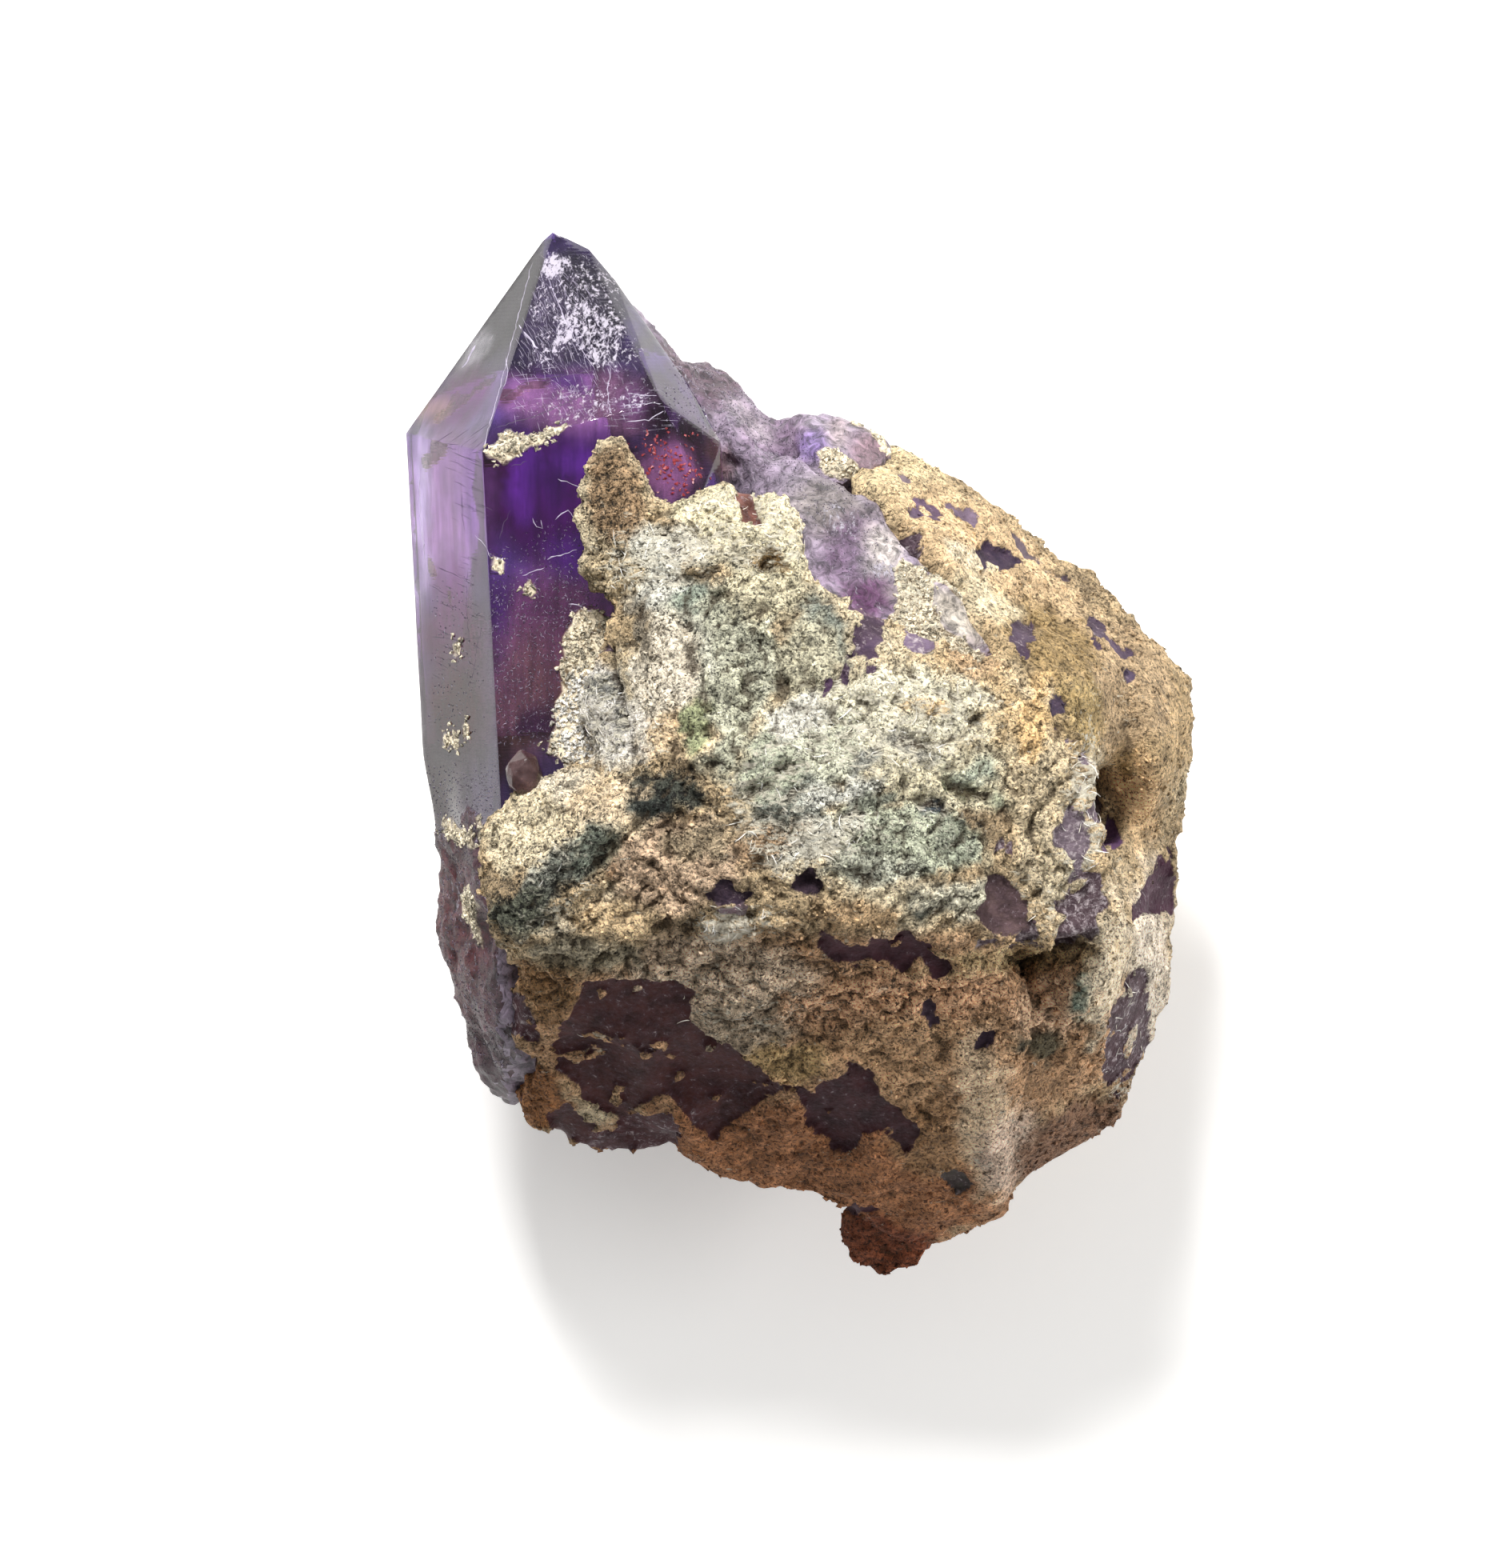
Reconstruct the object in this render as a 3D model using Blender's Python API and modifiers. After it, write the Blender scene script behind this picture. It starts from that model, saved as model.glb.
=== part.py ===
"""An amethyst point on a piece of its matrix, a hand specimen about 45 mm long.

It lies on its back on a flat fracture, with the crystal's tip towards +Y and the side that is shown
up, towards +Z. Run it with blender --background --python part.py, or from Blender's text editor.
"""

import math

import bmesh
import bpy
from mathutils import Matrix, Vector, noise

MM = 0.001

# Main crystal: its six prism faces meet at 120 degrees, as on every quartz crystal
PRISM_SIDES = (7.1, 9.2, 2.0, 9.9, 6.4, 4.8)  # face widths in mm, from the left edge round the front
PRISM_FIRST_TURN = 62.0  # degrees from +X to the first face
PRISM_LEFT_EDGE = (-16.4, 13.4)  # x and z of the left edge where y is 0
PRISM_LEAN = 3.0  # degrees that the crystal leans to the left
PRISM_FOOT = -3.0  # y of the crystal's buried end
SHOULDERS = (14.1, 13.2, 11.0, 13.6, 14.6, 14.4)  # y where each prism edge meets the termination
TIP = ((-11.2, 22.45, 13.0), (-10.8, 22.66, 13.3), (-10.2, 22.5, 13.4))  # the worn tip
RIGHT_FACE_CORNER = (-6.1, 15.4, 19.9)  # where the front face, the termination and the right face meet
TIP_RIGHT_EDGE = (
    (-9.2, 22.0, 13.8), (-8.1, 20.7, 14.6), (-6.6, 18.3, 15.7), (-5.2, 16.5, 16.5), (-4.2, 14.9, 17.2)
)

QUARTZ_VOXEL = 0.5  # mm, the grain at which the broken quartz grows together
QUARTZ_ROUGHNESS = 0.4  # mm
QUARTZ_TRIANGLES = 2000
SOCKET_GAP = 0.5  # mm between the quartz and the matrix that holds it
SOCKET_TRIANGLES = 2800
MATRIX_VOXEL = 0.5  # mm, the grain at which the matrix's blocks grow together
MATRIX_ROUGHNESS = 0.55  # mm
MATRIX_TRIANGLES = 6400


def start_empty():
    for old in list(bpy.data.objects):
        bpy.data.objects.remove(old)


def new_collection(name, hidden=False):
    made = bpy.data.collections.new(name)
    bpy.context.scene.collection.children.link(made)
    made.hide_render = hidden
    return made


def principled(name, colour, roughness, transmission=0.0):
    made = bpy.data.materials.new(name)
    made.use_nodes = True
    shader = made.node_tree.nodes["Principled BSDF"]
    shader.inputs["Base Color"].default_value = (*colour, 1.0)
    shader.inputs["Roughness"].default_value = roughness
    shader.inputs["Metallic"].default_value = 0.0
    shader.inputs["Transmission Weight"].default_value = transmission
    shader.inputs["IOR"].default_value = 1.544
    return made


def object_from(mesh_maker, name, collection):
    """A new object with the mesh that mesh_maker(bmesh) builds."""
    bm = bmesh.new()
    mesh_maker(bm)
    mesh = bpy.data.meshes.new(name)
    bm.to_mesh(mesh)
    bm.free()
    made = bpy.data.objects.new(name, mesh)
    collection.objects.link(made)
    return made


def lump(name, points, collection):
    """The convex block of stone or crystal that spans these points, given in millimetres."""

    def build(bm):
        for point in points:
            bm.verts.new(Vector(point) * MM)
        hull = bmesh.ops.convex_hull(bm, input=bm.verts)
        unused = {v for v in hull["geom_interior"] + hull["geom_unused"] if isinstance(v, bmesh.types.BMVert)}
        bmesh.ops.delete(bm, geom=list(unused), context="VERTS")
        bmesh.ops.dissolve_limit(bm, angle_limit=math.radians(0.5), verts=bm.verts, edges=bm.edges)
        bmesh.ops.recalc_face_normals(bm, faces=bm.faces)

    return object_from(build, name, collection)


def evaluated_mesh(obj):
    graph = bpy.context.evaluated_depsgraph_get()
    return bpy.data.meshes.new_from_object(obj.evaluated_get(graph))


def settle(obj):
    """Applies the object's modifiers to its mesh."""
    bpy.context.view_layer.update()
    obj.data = evaluated_mesh(obj)
    obj.modifiers.clear()
    return obj


def enlarged(obj, margin):
    """The same block with each corner moved out, so that its faces stand about margin mm further out."""
    grow = obj.modifiers.new("enlarge", "DISPLACE")
    grow.strength = 1.3 * margin * MM
    grow.mid_level = 0.0
    return settle(obj)


def boolean(obj, other, operation):
    modifier = obj.modifiers.new(operation.lower(), "BOOLEAN")
    modifier.operation = operation
    modifier.object = other
    return settle(obj)


def grown_together(parts, name, collection, voxel):
    """One closed skin round all the overlapping parts."""

    def build(bm):
        for part in parts:
            bm.from_mesh(part.data)

    made = object_from(build, name, collection)
    remesh = made.modifiers.new("grow_together", "REMESH")
    remesh.mode = "VOXEL"
    remesh.voxel_size = voxel * MM
    return settle(made)


def thinned(obj, triangles):
    """The same shape with about this many triangles."""
    now = sum(len(face.vertices) - 2 for face in obj.data.polygons)
    thin = obj.modifiers.new("thin", "DECIMATE")
    thin.ratio = min(1.0, triangles / now)
    return settle(obj)


def roughen(obj, amplitude, size, seed):
    """Moves each vertex along its normal by fractal noise. Amplitude and size are in mm."""
    offset = Vector((seed, 2.7 * seed, -1.3 * seed))
    bm = bmesh.new()
    bm.from_mesh(obj.data)
    bm.normal_update()
    for v in bm.verts:
        point = v.co / MM
        wave = noise.fractal(point / size + offset, 0.9, 2.1, 4)
        v.co += v.normal * (wave * amplitude * MM)
    bm.to_mesh(obj.data)
    bm.free()


def press(obj, centre, radius, depth):
    """Pushes the surface near a point in, or out where depth is negative, as a thumb would. In mm."""
    middle = Vector(centre)
    bm = bmesh.new()
    bm.from_mesh(obj.data)
    bm.normal_update()
    for v in bm.verts:
        reach = 1.0 - min(1.0, (v.co / MM - middle).length / radius)
        v.co -= v.normal * (depth * MM * reach * reach * (3.0 - 2.0 * reach))
    bm.to_mesh(obj.data)
    bm.free()


def keep_largest(obj):
    """Deletes chips that a cut left loose."""
    bm = bmesh.new()
    bm.from_mesh(obj.data)
    left = set(bm.verts)
    islands = []
    while left:
        island, edge = set(), [left.pop()]
        while edge:
            v = edge.pop()
            island.add(v)
            for link in v.link_edges:
                other = link.other_vert(v)
                if other in left:
                    left.remove(other)
                    edge.append(other)
        islands.append(island)
    largest = max(islands, key=len)
    loose = [v for island in islands if island is not largest for v in island]
    bmesh.ops.delete(bm, geom=loose, context="VERTS")
    bm.to_mesh(obj.data)
    bm.free()


def flatten_below(obj, height):
    """Cuts the object off at a horizontal plane, in mm, and closes it with one flat face."""
    bm = bmesh.new()
    bm.from_mesh(obj.data)
    cut = bmesh.ops.bisect_plane(
        bm,
        geom=bm.verts[:] + bm.edges[:] + bm.faces[:],
        plane_co=(0, 0, height * MM),
        plane_no=(0, 0, 1),
        clear_inner=True,
    )
    rim = [e for e in cut["geom_cut"] if isinstance(e, bmesh.types.BMEdge)]
    bmesh.ops.holes_fill(bm, edges=rim, sides=0)
    bmesh.ops.recalc_face_normals(bm, faces=bm.faces)
    bm.to_mesh(obj.data)
    bm.free()


def centre_on_base(objects):
    """Moves the objects together so that the middle of their base stands on the origin."""
    corners = [v.co for obj in objects for v in obj.data.vertices]
    low = Vector(min(c[axis] for c in corners) for axis in range(3))
    high = Vector(max(c[axis] for c in corners) for axis in range(3))
    shift = Vector((-(low.x + high.x) / 2, -(low.y + high.y) / 2, -low.z))
    for obj in objects:
        obj.data.transform(Matrix.Translation(shift))


def prism_edges():
    """x and z of the six prism edges where y is 0, walked round face by face."""
    x, z = PRISM_LEFT_EDGE
    edges = []
    for i, width in enumerate(PRISM_SIDES):
        edges.append((x, z))
        turn = math.radians(PRISM_FIRST_TURN - 60.0 * i)
        x += width * math.cos(turn)
        z += width * math.sin(turn)
    return edges


def main_crystal_points():
    slope = math.tan(math.radians(PRISM_LEAN))
    points = [*TIP, *TIP_RIGHT_EDGE, RIGHT_FACE_CORNER]
    for (x, z), shoulder in zip(prism_edges(), SHOULDERS):
        points.append((x - slope * shoulder, shoulder, z))
        points.append((x - slope * PRISM_FOOT, PRISM_FOOT, z))
    return points


# The quartz that the main crystal grows from, in mm: two crystals behind it, the broken left flank
# below it, the band that runs down to the right between the stone, and a small crystal beside it
QUARTZ_BLOCKS = {
    "second_crystal": (
        (-8.0, 20.5, 12.6), (-6.6, 19.1, 12.0), (-5.1, 17.6, 11.6), (-4.5, 16.2, 13.8),
        (-8.6, 17.6, 8.0), (-5.6, 15.6, 8.2), (-4.0, 12.5, 16.6), (-5.0, 9.0, 16.8), (-4.0, 13.0, 9.0),
        (-8.0, 8.0, 7.6),
    ),
    "third_crystal": (
        (-5.0, 17.7, 10.8), (-4.0, 17.5, 10.6), (-3.4, 16.8, 11.6), (-2.3, 15.3, 12.8),
        (-1.1, 14.3, 12.6), (-1.9, 13.6, 16.2), (-3.4, 14.2, 16.0), (0.6, 12.0, 12.4), (1.8, 7.0, 10.0),
        (-1.8, 14.0, 8.0), (-5.4, 15.0, 7.2), (-8.4, 5.0, 6.4), (-2.0, 3.0, 7.0), (-0.6, 9.6, 18.8),
    ),
    "left_flank": (
        (-16.4, 0.3, 12.6), (-15.7, 1.2, 11.2), (-13.4, 1.4, 18.8), (-16.1, -3.4, 12.2),
        (-13.9, -4.6, 18.2), (-15.5, -7.4, 11.8), (-13.3, -9.4, 17.0), (-14.9, -11.2, 11.2),
        (-14.5, -13.2, 10.6), (-12.9, -12.6, 15.2), (-8.0, 1.5, 17.5), (-10.5, -12.5, 14.8),
        (-13.8, -14.5, 9.8), (-12.6, -15.3, 9.4), (-13.6, 0.5, 7.4), (-12.8, -12.4, 6.2),
        (-8.0, -12.0, 6.0), (-6.5, 1.0, 7.6),
    ),
    "quartz_band": (
        (-1.6, 13.6, 16.4), (-0.2, 12.9, 16.4), (3.0, 10.9, 18.6), (4.9, 8.8, 19.8), (7.0, 6.6, 20.6),
        (8.3, 4.2, 20.8), (5.2, 3.6, 22.4), (1.8, 5.4, 22.6), (-0.3, 8.4, 21.6), (-1.0, 10.8, 20.0),
        (-3.0, 10.0, 16.5), (0.0, 4.0, 15.0), (6.0, 4.0, 15.0), (2.0, 10.0, 12.5), (-2.0, 12.6, 13.0),
    ),
    "small_crystal": (
        (-0.9, 15.3, 12.6), (1.2, 14.9, 13.6), (2.8, 14.6, 13.2), (3.6, 13.9, 13.4), (4.0, 13.1, 14.0),
        (3.4, 12.4, 15.6), (1.8, 12.6, 16.6), (0.1, 13.7, 16.0), (-0.6, 13.0, 10.6), (2.6, 12.4, 10.4),
        (0.6, 9.0, 13.0),
    ),
}

# The matrix, in mm, as blocks that grew and broke together
STONE_BLOCKS = {
    "boss": (
        (-7.2, 8.4, 22.6), (-3.4, 9.6, 22.8), (-0.4, 7.6, 23.6), (3.4, 4.6, 24.6), (8.6, 1.8, 23.6),
        (11.3, 2.4, 22.0), (12.4, -1.0, 22.2), (13.3, -5.0, 21.8), (13.2, -7.2, 21.4),
        (8.0, -8.0, 23.4), (1.2, -6.4, 24.8), (-2.0, -7.2, 24.0), (-5.2, -6.8, 23.6),
        (-5.0, -4.4, 24.9), (-4.2, 0.4, 25.4), (2.8, -0.6, 26.1), (-8.6, 4.4, 21.6), (-9.8, 1.6, 20.8),
        (-6.0, 8.0, 7.0), (-8.0, -6.0, 6.0), (10.0, 2.0, 7.0), (11.6, -8.0, 7.0), (0.0, -10.0, 8.0),
    ),
    "nose": (
        (-8.4, -2.0, 25.0), (-9.8, -3.2, 25.2), (-12.8, -6.2, 23.6), (-12.9, -7.6, 22.6),
        (-11.6, -8.4, 22.6), (-8.0, -4.4, 24.8), (-13.7, -4.2, 20.8), (-13.3, -2.2, 20.0),
        (-10.6, -0.8, 21.0), (-5.0, -1.6, 25.0), (-5.4, -5.6, 23.6), (-6.4, -7.6, 23.0),
        (-9.4, -8.4, 22.6), (-13.0, -8.6, 18.4), (-8.0, -6.0, 14.0), (-11.4, -2.0, 15.0),
        (-6.0, 2.0, 20.0),
    ),
    "lower_left": (
        (-12.3, -8.8, 20.2), (-9.4, -9.0, 21.4), (-6.6, -8.4, 22.0), (-4.4, -10.2, 19.8),
        (-6.6, -13.6, 16.2), (-12.6, -12.4, 15.2), (-12.0, -15.6, 11.6), (-9.6, -16.7, 10.8),
        (-6.4, -17.0, 10.6), (-5.2, -15.8, 12.6), (-10.0, -14.0, 4.0), (-4.0, -14.0, 3.0),
        (-8.0, -5.0, 3.4), (-2.0, -6.0, 6.0),
    ),
    "lower_middle": (
        (-6.4, -8.0, 22.4), (-2.0, -7.2, 23.0), (1.4, -6.4, 23.8), (4.4, -8.2, 22.6),
        (3.4, -10.8, 19.9), (-3.4, -10.8, 19.6), (-5.4, -13.8, 15.6), (-4.8, -17.4, 11.2),
        (-1.4, -18.4, 10.6), (1.6, -19.4, 10.4), (2.6, -16.6, 14.2), (2.0, -12.8, 17.2),
        (2.0, -16.0, 2.0), (-4.0, -14.0, 3.0), (-4.0, -5.0, 3.0), (4.0, -5.0, 3.0),
    ),
    "rib": (
        (1.0, -7.0, 23.6), (5.6, -7.8, 22.8), (8.4, -8.8, 21.8), (9.4, -9.9, 20.6), (7.9, -12.1, 18.6),
        (7.4, -14.4, 16.8), (7.9, -16.6, 15.0), (8.4, -18.4, 12.8), (8.8, -19.6, 9.8),
        (3.8, -10.6, 19.8), (3.2, -14.4, 16.2), (3.4, -17.4, 13.6), (2.2, -19.8, 10.0),
        (5.6, -21.0, 8.6), (6.8, -20.9, 8.0), (2.0, -16.0, 2.0), (7.0, -16.0, 2.6), (2.0, -6.0, 6.0),
        (8.0, -8.0, 6.0),
    ),
    "right_shelf": (
        (-0.2, 12.7, 14.8), (3.0, 11.4, 18.4), (5.2, 9.0, 19.9), (7.4, 6.4, 21.0), (9.0, 4.0, 21.8),
        (11.4, 3.0, 20.8), (12.6, -0.6, 18.6), (2.8, 14.0, 12.4), (5.8, 12.5, 12.2), (7.4, 10.8, 12.8),
        (9.8, 9.2, 12.2), (11.6, 8.4, 11.6), (13.4, 6.9, 11.8), (14.0, 4.4, 15.0), (13.6, 0.6, 14.0),
        (0.4, 13.4, 9.0), (6.0, 9.6, 5.6), (12.0, 5.0, 5.0), (2.0, 6.0, 4.0), (9.0, 0.0, 4.0),
    ),
    "right_lobe": (
        (13.2, 6.4, 12.0), (15.2, 5.0, 12.8), (16.8, 3.5, 10.8), (17.2, 1.8, 10.6), (17.1, -0.4, 10.6),
        (16.6, -2.4, 10.0), (16.0, -3.8, 10.4), (14.6, 2.6, 16.6), (15.2, -0.2, 16.0),
        (14.8, -2.6, 14.0), (12.0, 3.0, 6.0), (13.5, -3.0, 5.6), (11.0, 0.0, 8.0), (12.4, -2.6, 13.0),
    ),
    "lower_right": (
        (13.2, -3.0, 16.6), (13.8, -7.6, 18.0), (12.6, -8.4, 19.4), (15.9, -3.0, 10.4),
        (15.9, -4.6, 11.2), (16.1, -7.2, 9.8), (15.8, -9.8, 10.4), (15.6, -11.8, 9.4),
        (14.9, -13.6, 9.2), (13.6, -15.5, 9.0), (11.6, -17.0, 9.0), (8.8, -18.6, 9.4),
        (9.8, -15.2, 13.8), (13.2, -13.4, 12.8), (14.4, -9.4, 14.6), (11.0, -10.8, 17.2),
        (8.0, -12.6, 17.0), (7.2, -15.4, 15.2), (8.0, -18.0, 12.4), (11.0, -3.0, 4.0),
        (12.4, -12.6, 3.6), (7.0, -15.6, 3.0), (6.0, -6.0, 6.0),
    ),
    "bottom_lobe": (
        (1.7, -20.4, 7.6), (2.0, -21.8, 6.6), (3.0, -22.6, 6.2), (4.2, -22.2, 6.6), (5.4, -21.4, 7.2),
        (2.2, -19.0, 9.0), (6.4, -18.6, 9.4), (2.6, -18.0, 4.6), (6.0, -17.6, 4.4),
    ),
    "back": (
        (-11.0, -12.0, 5.0), (-9.0, 2.0, 5.6), (-3.0, 6.4, 4.6), (4.0, 8.0, 4.0), (11.0, 3.0, 4.2),
        (12.6, -6.0, 3.4), (9.0, -14.4, 2.6), (-3.0, -16.0, 3.6), (-7.4, -9.0, -1.2), (-5.4, 1.0, -1.2),
        (4.0, 4.2, -1.2), (8.6, -2.0, -1.2), (7.0, -11.0, -1.2), (-1.0, -13.0, -1.2), (0.0, 0.0, 12.0),
    ),
    "crust_tongue": (
        (-9.3, 12.9, 20.8), (-8.7, 13.7, 21.3), (-7.7, 13.6, 21.4), (-6.9, 12.6, 21.4),
        (-7.0, 10.6, 21.8), (-9.3, 10.4, 21.6), (-9.9, 8.6, 21.2), (-9.2, 7.0, 21.8), (-6.4, 8.0, 23.0),
        (-8.6, 13.2, 19.2), (-7.0, 12.0, 19.2), (-9.0, 8.0, 19.0), (-6.0, 8.0, 18.0),
    ),
    "crust_top": (
        (-7.2, 10.4, 21.6), (-4.6, 11.2, 21.0), (-3.4, 12.0, 20.2), (-2.2, 11.6, 20.6),
        (-0.6, 11.2, 20.8), (0.0, 9.8, 22.0), (-0.4, 8.4, 23.0), (-1.4, 7.0, 24.0), (-4.4, 8.6, 23.6),
        (-7.0, 8.4, 22.8), (-3.6, 11.0, 16.0), (-0.8, 10.0, 16.0), (-6.0, 7.0, 18.0),
    ),
}

# Hollows (depth above 0) and bosses (below 0) of the matrix: centre, radius and depth in mm
STONE_DENTS = (
    ((13.4, -1.6, 17.6), 3.0, 0.7),  # the recess between the boss and the right lobe
    ((10.9, -11.2, 16.6), 2.6, 0.7),  # the stained hollow on the lower right
    ((-9.6, 0.6, 21.6), 2.2, 0.6),  # the notch between the prism and the nose
    ((-1.8, 3.8, 25.0), 2.6, 0.7),  # the green plateau's step
    ((5.4, -4.4, 25.0), 3.4, -0.6),  # the boss's crown
    ((-9.2, -12.6, 16.0), 3.2, 0.6),  # the quartz face low on the left
    ((0.0, -11.4, 18.8), 2.6, 0.6),  # the long window in the slope
    ((1.8, -15.6, 14.6), 2.8, 0.7),  # the quartz window low in the middle
    ((-5.6, -15.0, 13.6), 2.2, -0.5),
    ((-1.4, 9.8, 22.6), 1.6, -0.5),  # the fibrous lump
    ((10.6, 6.8, 17.0), 2.6, 0.7),
    ((6.2, 9.6, 17.6), 2.0, -0.4),
    ((15.4, -6.4, 12.4), 2.4, 0.6),
)


def build():
    start_empty()
    parts = new_collection("amethyst_specimen")
    cutters = new_collection("cutters", hidden=True)

    amethyst = principled("amethyst", (0.21, 0.09, 0.46), 0.1, transmission=1.0)
    stone = principled("weathered_matrix", (0.58, 0.46, 0.31), 0.9)

    # The main crystal keeps its flat faces, and the quartz that it grows from is broken and etched
    crystal = lump("amethyst_crystal", main_crystal_points(), parts)
    quartz_blocks = [lump(name, points, cutters) for name, points in QUARTZ_BLOCKS.items()]
    broken = grown_together(quartz_blocks, "broken_quartz", cutters, QUARTZ_VOXEL)
    roughen(broken, QUARTZ_ROUGHNESS, 3.2, seed=7.0)
    thinned(broken, QUARTZ_TRIANGLES)
    boolean(crystal, broken, "UNION")
    keep_largest(crystal)

    # The socket that the quartz leaves in the stone: its blocks, each a gap larger
    wide_blocks = [
        enlarged(lump(f"wide_{name}", points, cutters), SOCKET_GAP)
        for name, points in {
            "main_crystal": main_crystal_points(),
            **QUARTZ_BLOCKS,
        }.items()
    ]
    socket = grown_together(wide_blocks, "socket", cutters, QUARTZ_VOXEL)
    roughen(socket, QUARTZ_ROUGHNESS, 3.2, seed=7.0)
    thinned(socket, SOCKET_TRIANGLES)

    # The matrix, from its blocks
    stone_blocks = [lump(name, points, cutters) for name, points in STONE_BLOCKS.items()]
    matrix = grown_together(stone_blocks, "matrix_rock", parts, MATRIX_VOXEL)
    for centre, radius, depth in STONE_DENTS:
        press(matrix, centre, radius, depth)
    roughen(matrix, MATRIX_ROUGHNESS, 5.0, seed=3.0)
    thinned(matrix, MATRIX_TRIANGLES)
    flatten_below(matrix, 0.0)
    boolean(matrix, socket, "DIFFERENCE")
    keep_largest(matrix)

    centre_on_base((crystal, matrix))
    for obj, material in ((crystal, amethyst), (matrix, stone)):
        obj.data.materials.clear()
        obj.data.materials.append(material)
    for helper in cutters.objects:
        helper.hide_render = True
        helper.display_type = "WIRE"


build()
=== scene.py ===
from functools import partial
import math

import bmesh
import bpy
import numpy as np
from mathutils import Matrix, Vector, noise
from mathutils.bvhtree import BVHTree


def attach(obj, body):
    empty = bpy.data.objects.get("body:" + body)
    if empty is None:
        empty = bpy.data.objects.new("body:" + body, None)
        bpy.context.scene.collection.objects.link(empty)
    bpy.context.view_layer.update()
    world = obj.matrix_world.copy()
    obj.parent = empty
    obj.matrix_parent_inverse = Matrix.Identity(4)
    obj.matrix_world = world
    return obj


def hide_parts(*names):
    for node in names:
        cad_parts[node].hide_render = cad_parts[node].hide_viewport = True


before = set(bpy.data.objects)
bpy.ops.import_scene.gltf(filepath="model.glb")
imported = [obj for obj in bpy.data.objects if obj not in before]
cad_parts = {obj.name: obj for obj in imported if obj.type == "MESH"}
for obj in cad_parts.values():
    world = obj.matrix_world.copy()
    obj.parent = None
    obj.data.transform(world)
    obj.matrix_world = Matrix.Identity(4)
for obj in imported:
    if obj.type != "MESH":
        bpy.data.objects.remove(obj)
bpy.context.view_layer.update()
scene = bpy.context.scene
mm = 0.001
highUp = 0.08  # above the specimen, where lines straight down start
midHeight = 0.012
farthest = 1.5  # depths inside an outline are measured this far from it, in mm
noiseInputs = ("Vector", "Scale", "Detail", "Roughness", "Distortion")

photo = {  # how the photograph's pixels lie on the specimen, seen from straight above
    "width": 1880,
    "height": 1960,
    "pixelsPerMm": 29.0,
    "middleColumn": 999.4,  # the pixel at the middle of the specimen's box
    "middleRow": 943.5,
}


def fromPhoto(column, row):
    x = (column - photo["middleColumn"]) / photo["pixelsPerMm"] * mm
    y = (photo["middleRow"] - row) / photo["pixelsPerMm"] * mm
    return x, y


def linear(hexColour):  # an sRGB hex value as linear red, green, blue and alpha
    channels = [int(hexColour[i : i + 2], 16) / 255 for i in (1, 3, 5)]
    return tuple(c / 12.92 if c <= 0.04045 else ((c + 0.055) / 1.055) ** 2.4 for c in channels) + (1.0,)


# Adds a node with its settings and its inputs, linked or set, by name or in their order, and gives
# one of its outputs back
def addNode(tree, kind, inputs=(), output=0, **settings):
    node = tree.nodes.new(kind)
    for name, value in settings.items():
        setattr(node, name, value)
    for name, value in inputs.items() if isinstance(inputs, dict) else enumerate(inputs):
        if isinstance(value, bpy.types.NodeSocket):
            tree.links.new(value, node.inputs[name])
        else:
            node.inputs[name].default_value = value
    return node.outputs[output] if node.outputs else None


def addObject(name, mesh):
    made = bpy.data.objects.new(name, mesh)
    scene.collection.objects.link(made)
    return made


def finishPiece(obj, slotName, *replacedNodes):  # the same two calls for every piece
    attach(obj, "root")
    if replacedNodes:
        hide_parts(*replacedNodes)


def smoothStep(low, high, values):
    t = np.clip((values - low) / (high - low), 0.0, 1.0)
    return t * t * (3.0 - 2.0 * t)


def noiseAt(points, size, seed, octaves=3):  # fractal noise, about -1 to 1, for an array of points
    shift = Vector((seed, 1.7 * seed, -0.6 * seed))
    return np.array([noise.fractal(Vector(p) / size + shift, 1.0, 2.0, octaves) for p in points.tolist()])


def surfaceTree(mesh):
    return BVHTree.FromPolygons([v.co for v in mesh.vertices], [p.vertices for p in mesh.polygons])


def dropTo(tree, x, y):  # the place and normal where a line straight down meets a surface, or None
    return tree.ray_cast(Vector((x, y, highUp)), Vector((0, 0, -1)))[:2]


def mergedCopy(nodeName):  # a CAD node's triangles are loose, so a copy of its mesh is merged
    bm = bmesh.new()
    bm.from_mesh(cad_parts[nodeName].data)
    bmesh.ops.remove_doubles(bm, verts=bm.verts, dist=1e-6)
    return bm


def meshFrom(bm, name):
    mesh = bpy.data.meshes.new(name)
    bm.to_mesh(mesh)
    bm.free()
    return mesh


def vertexArrays(mesh):
    places = np.zeros(len(mesh.vertices) * 3)
    normals = np.zeros(len(mesh.vertices) * 3)
    mesh.vertices.foreach_get("co", places)
    mesh.vertices.foreach_get("normal", normals)
    return places.reshape(-1, 3), normals.reshape(-1, 3)


def setPlaces(mesh, places):
    mesh.vertices.foreach_set("co", places.ravel())
    mesh.update()


def storeValues(mesh, name, values, domain="POINT"):
    if values.ndim == 1:
        attribute = mesh.attributes.new(name, "FLOAT", domain)
        attribute.data.foreach_set("value", values.astype(np.float32))
    else:
        attribute = mesh.attributes.new(name, "FLOAT_COLOR", domain)
        attribute.data.foreach_set("color", values.astype(np.float32).ravel())


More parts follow.
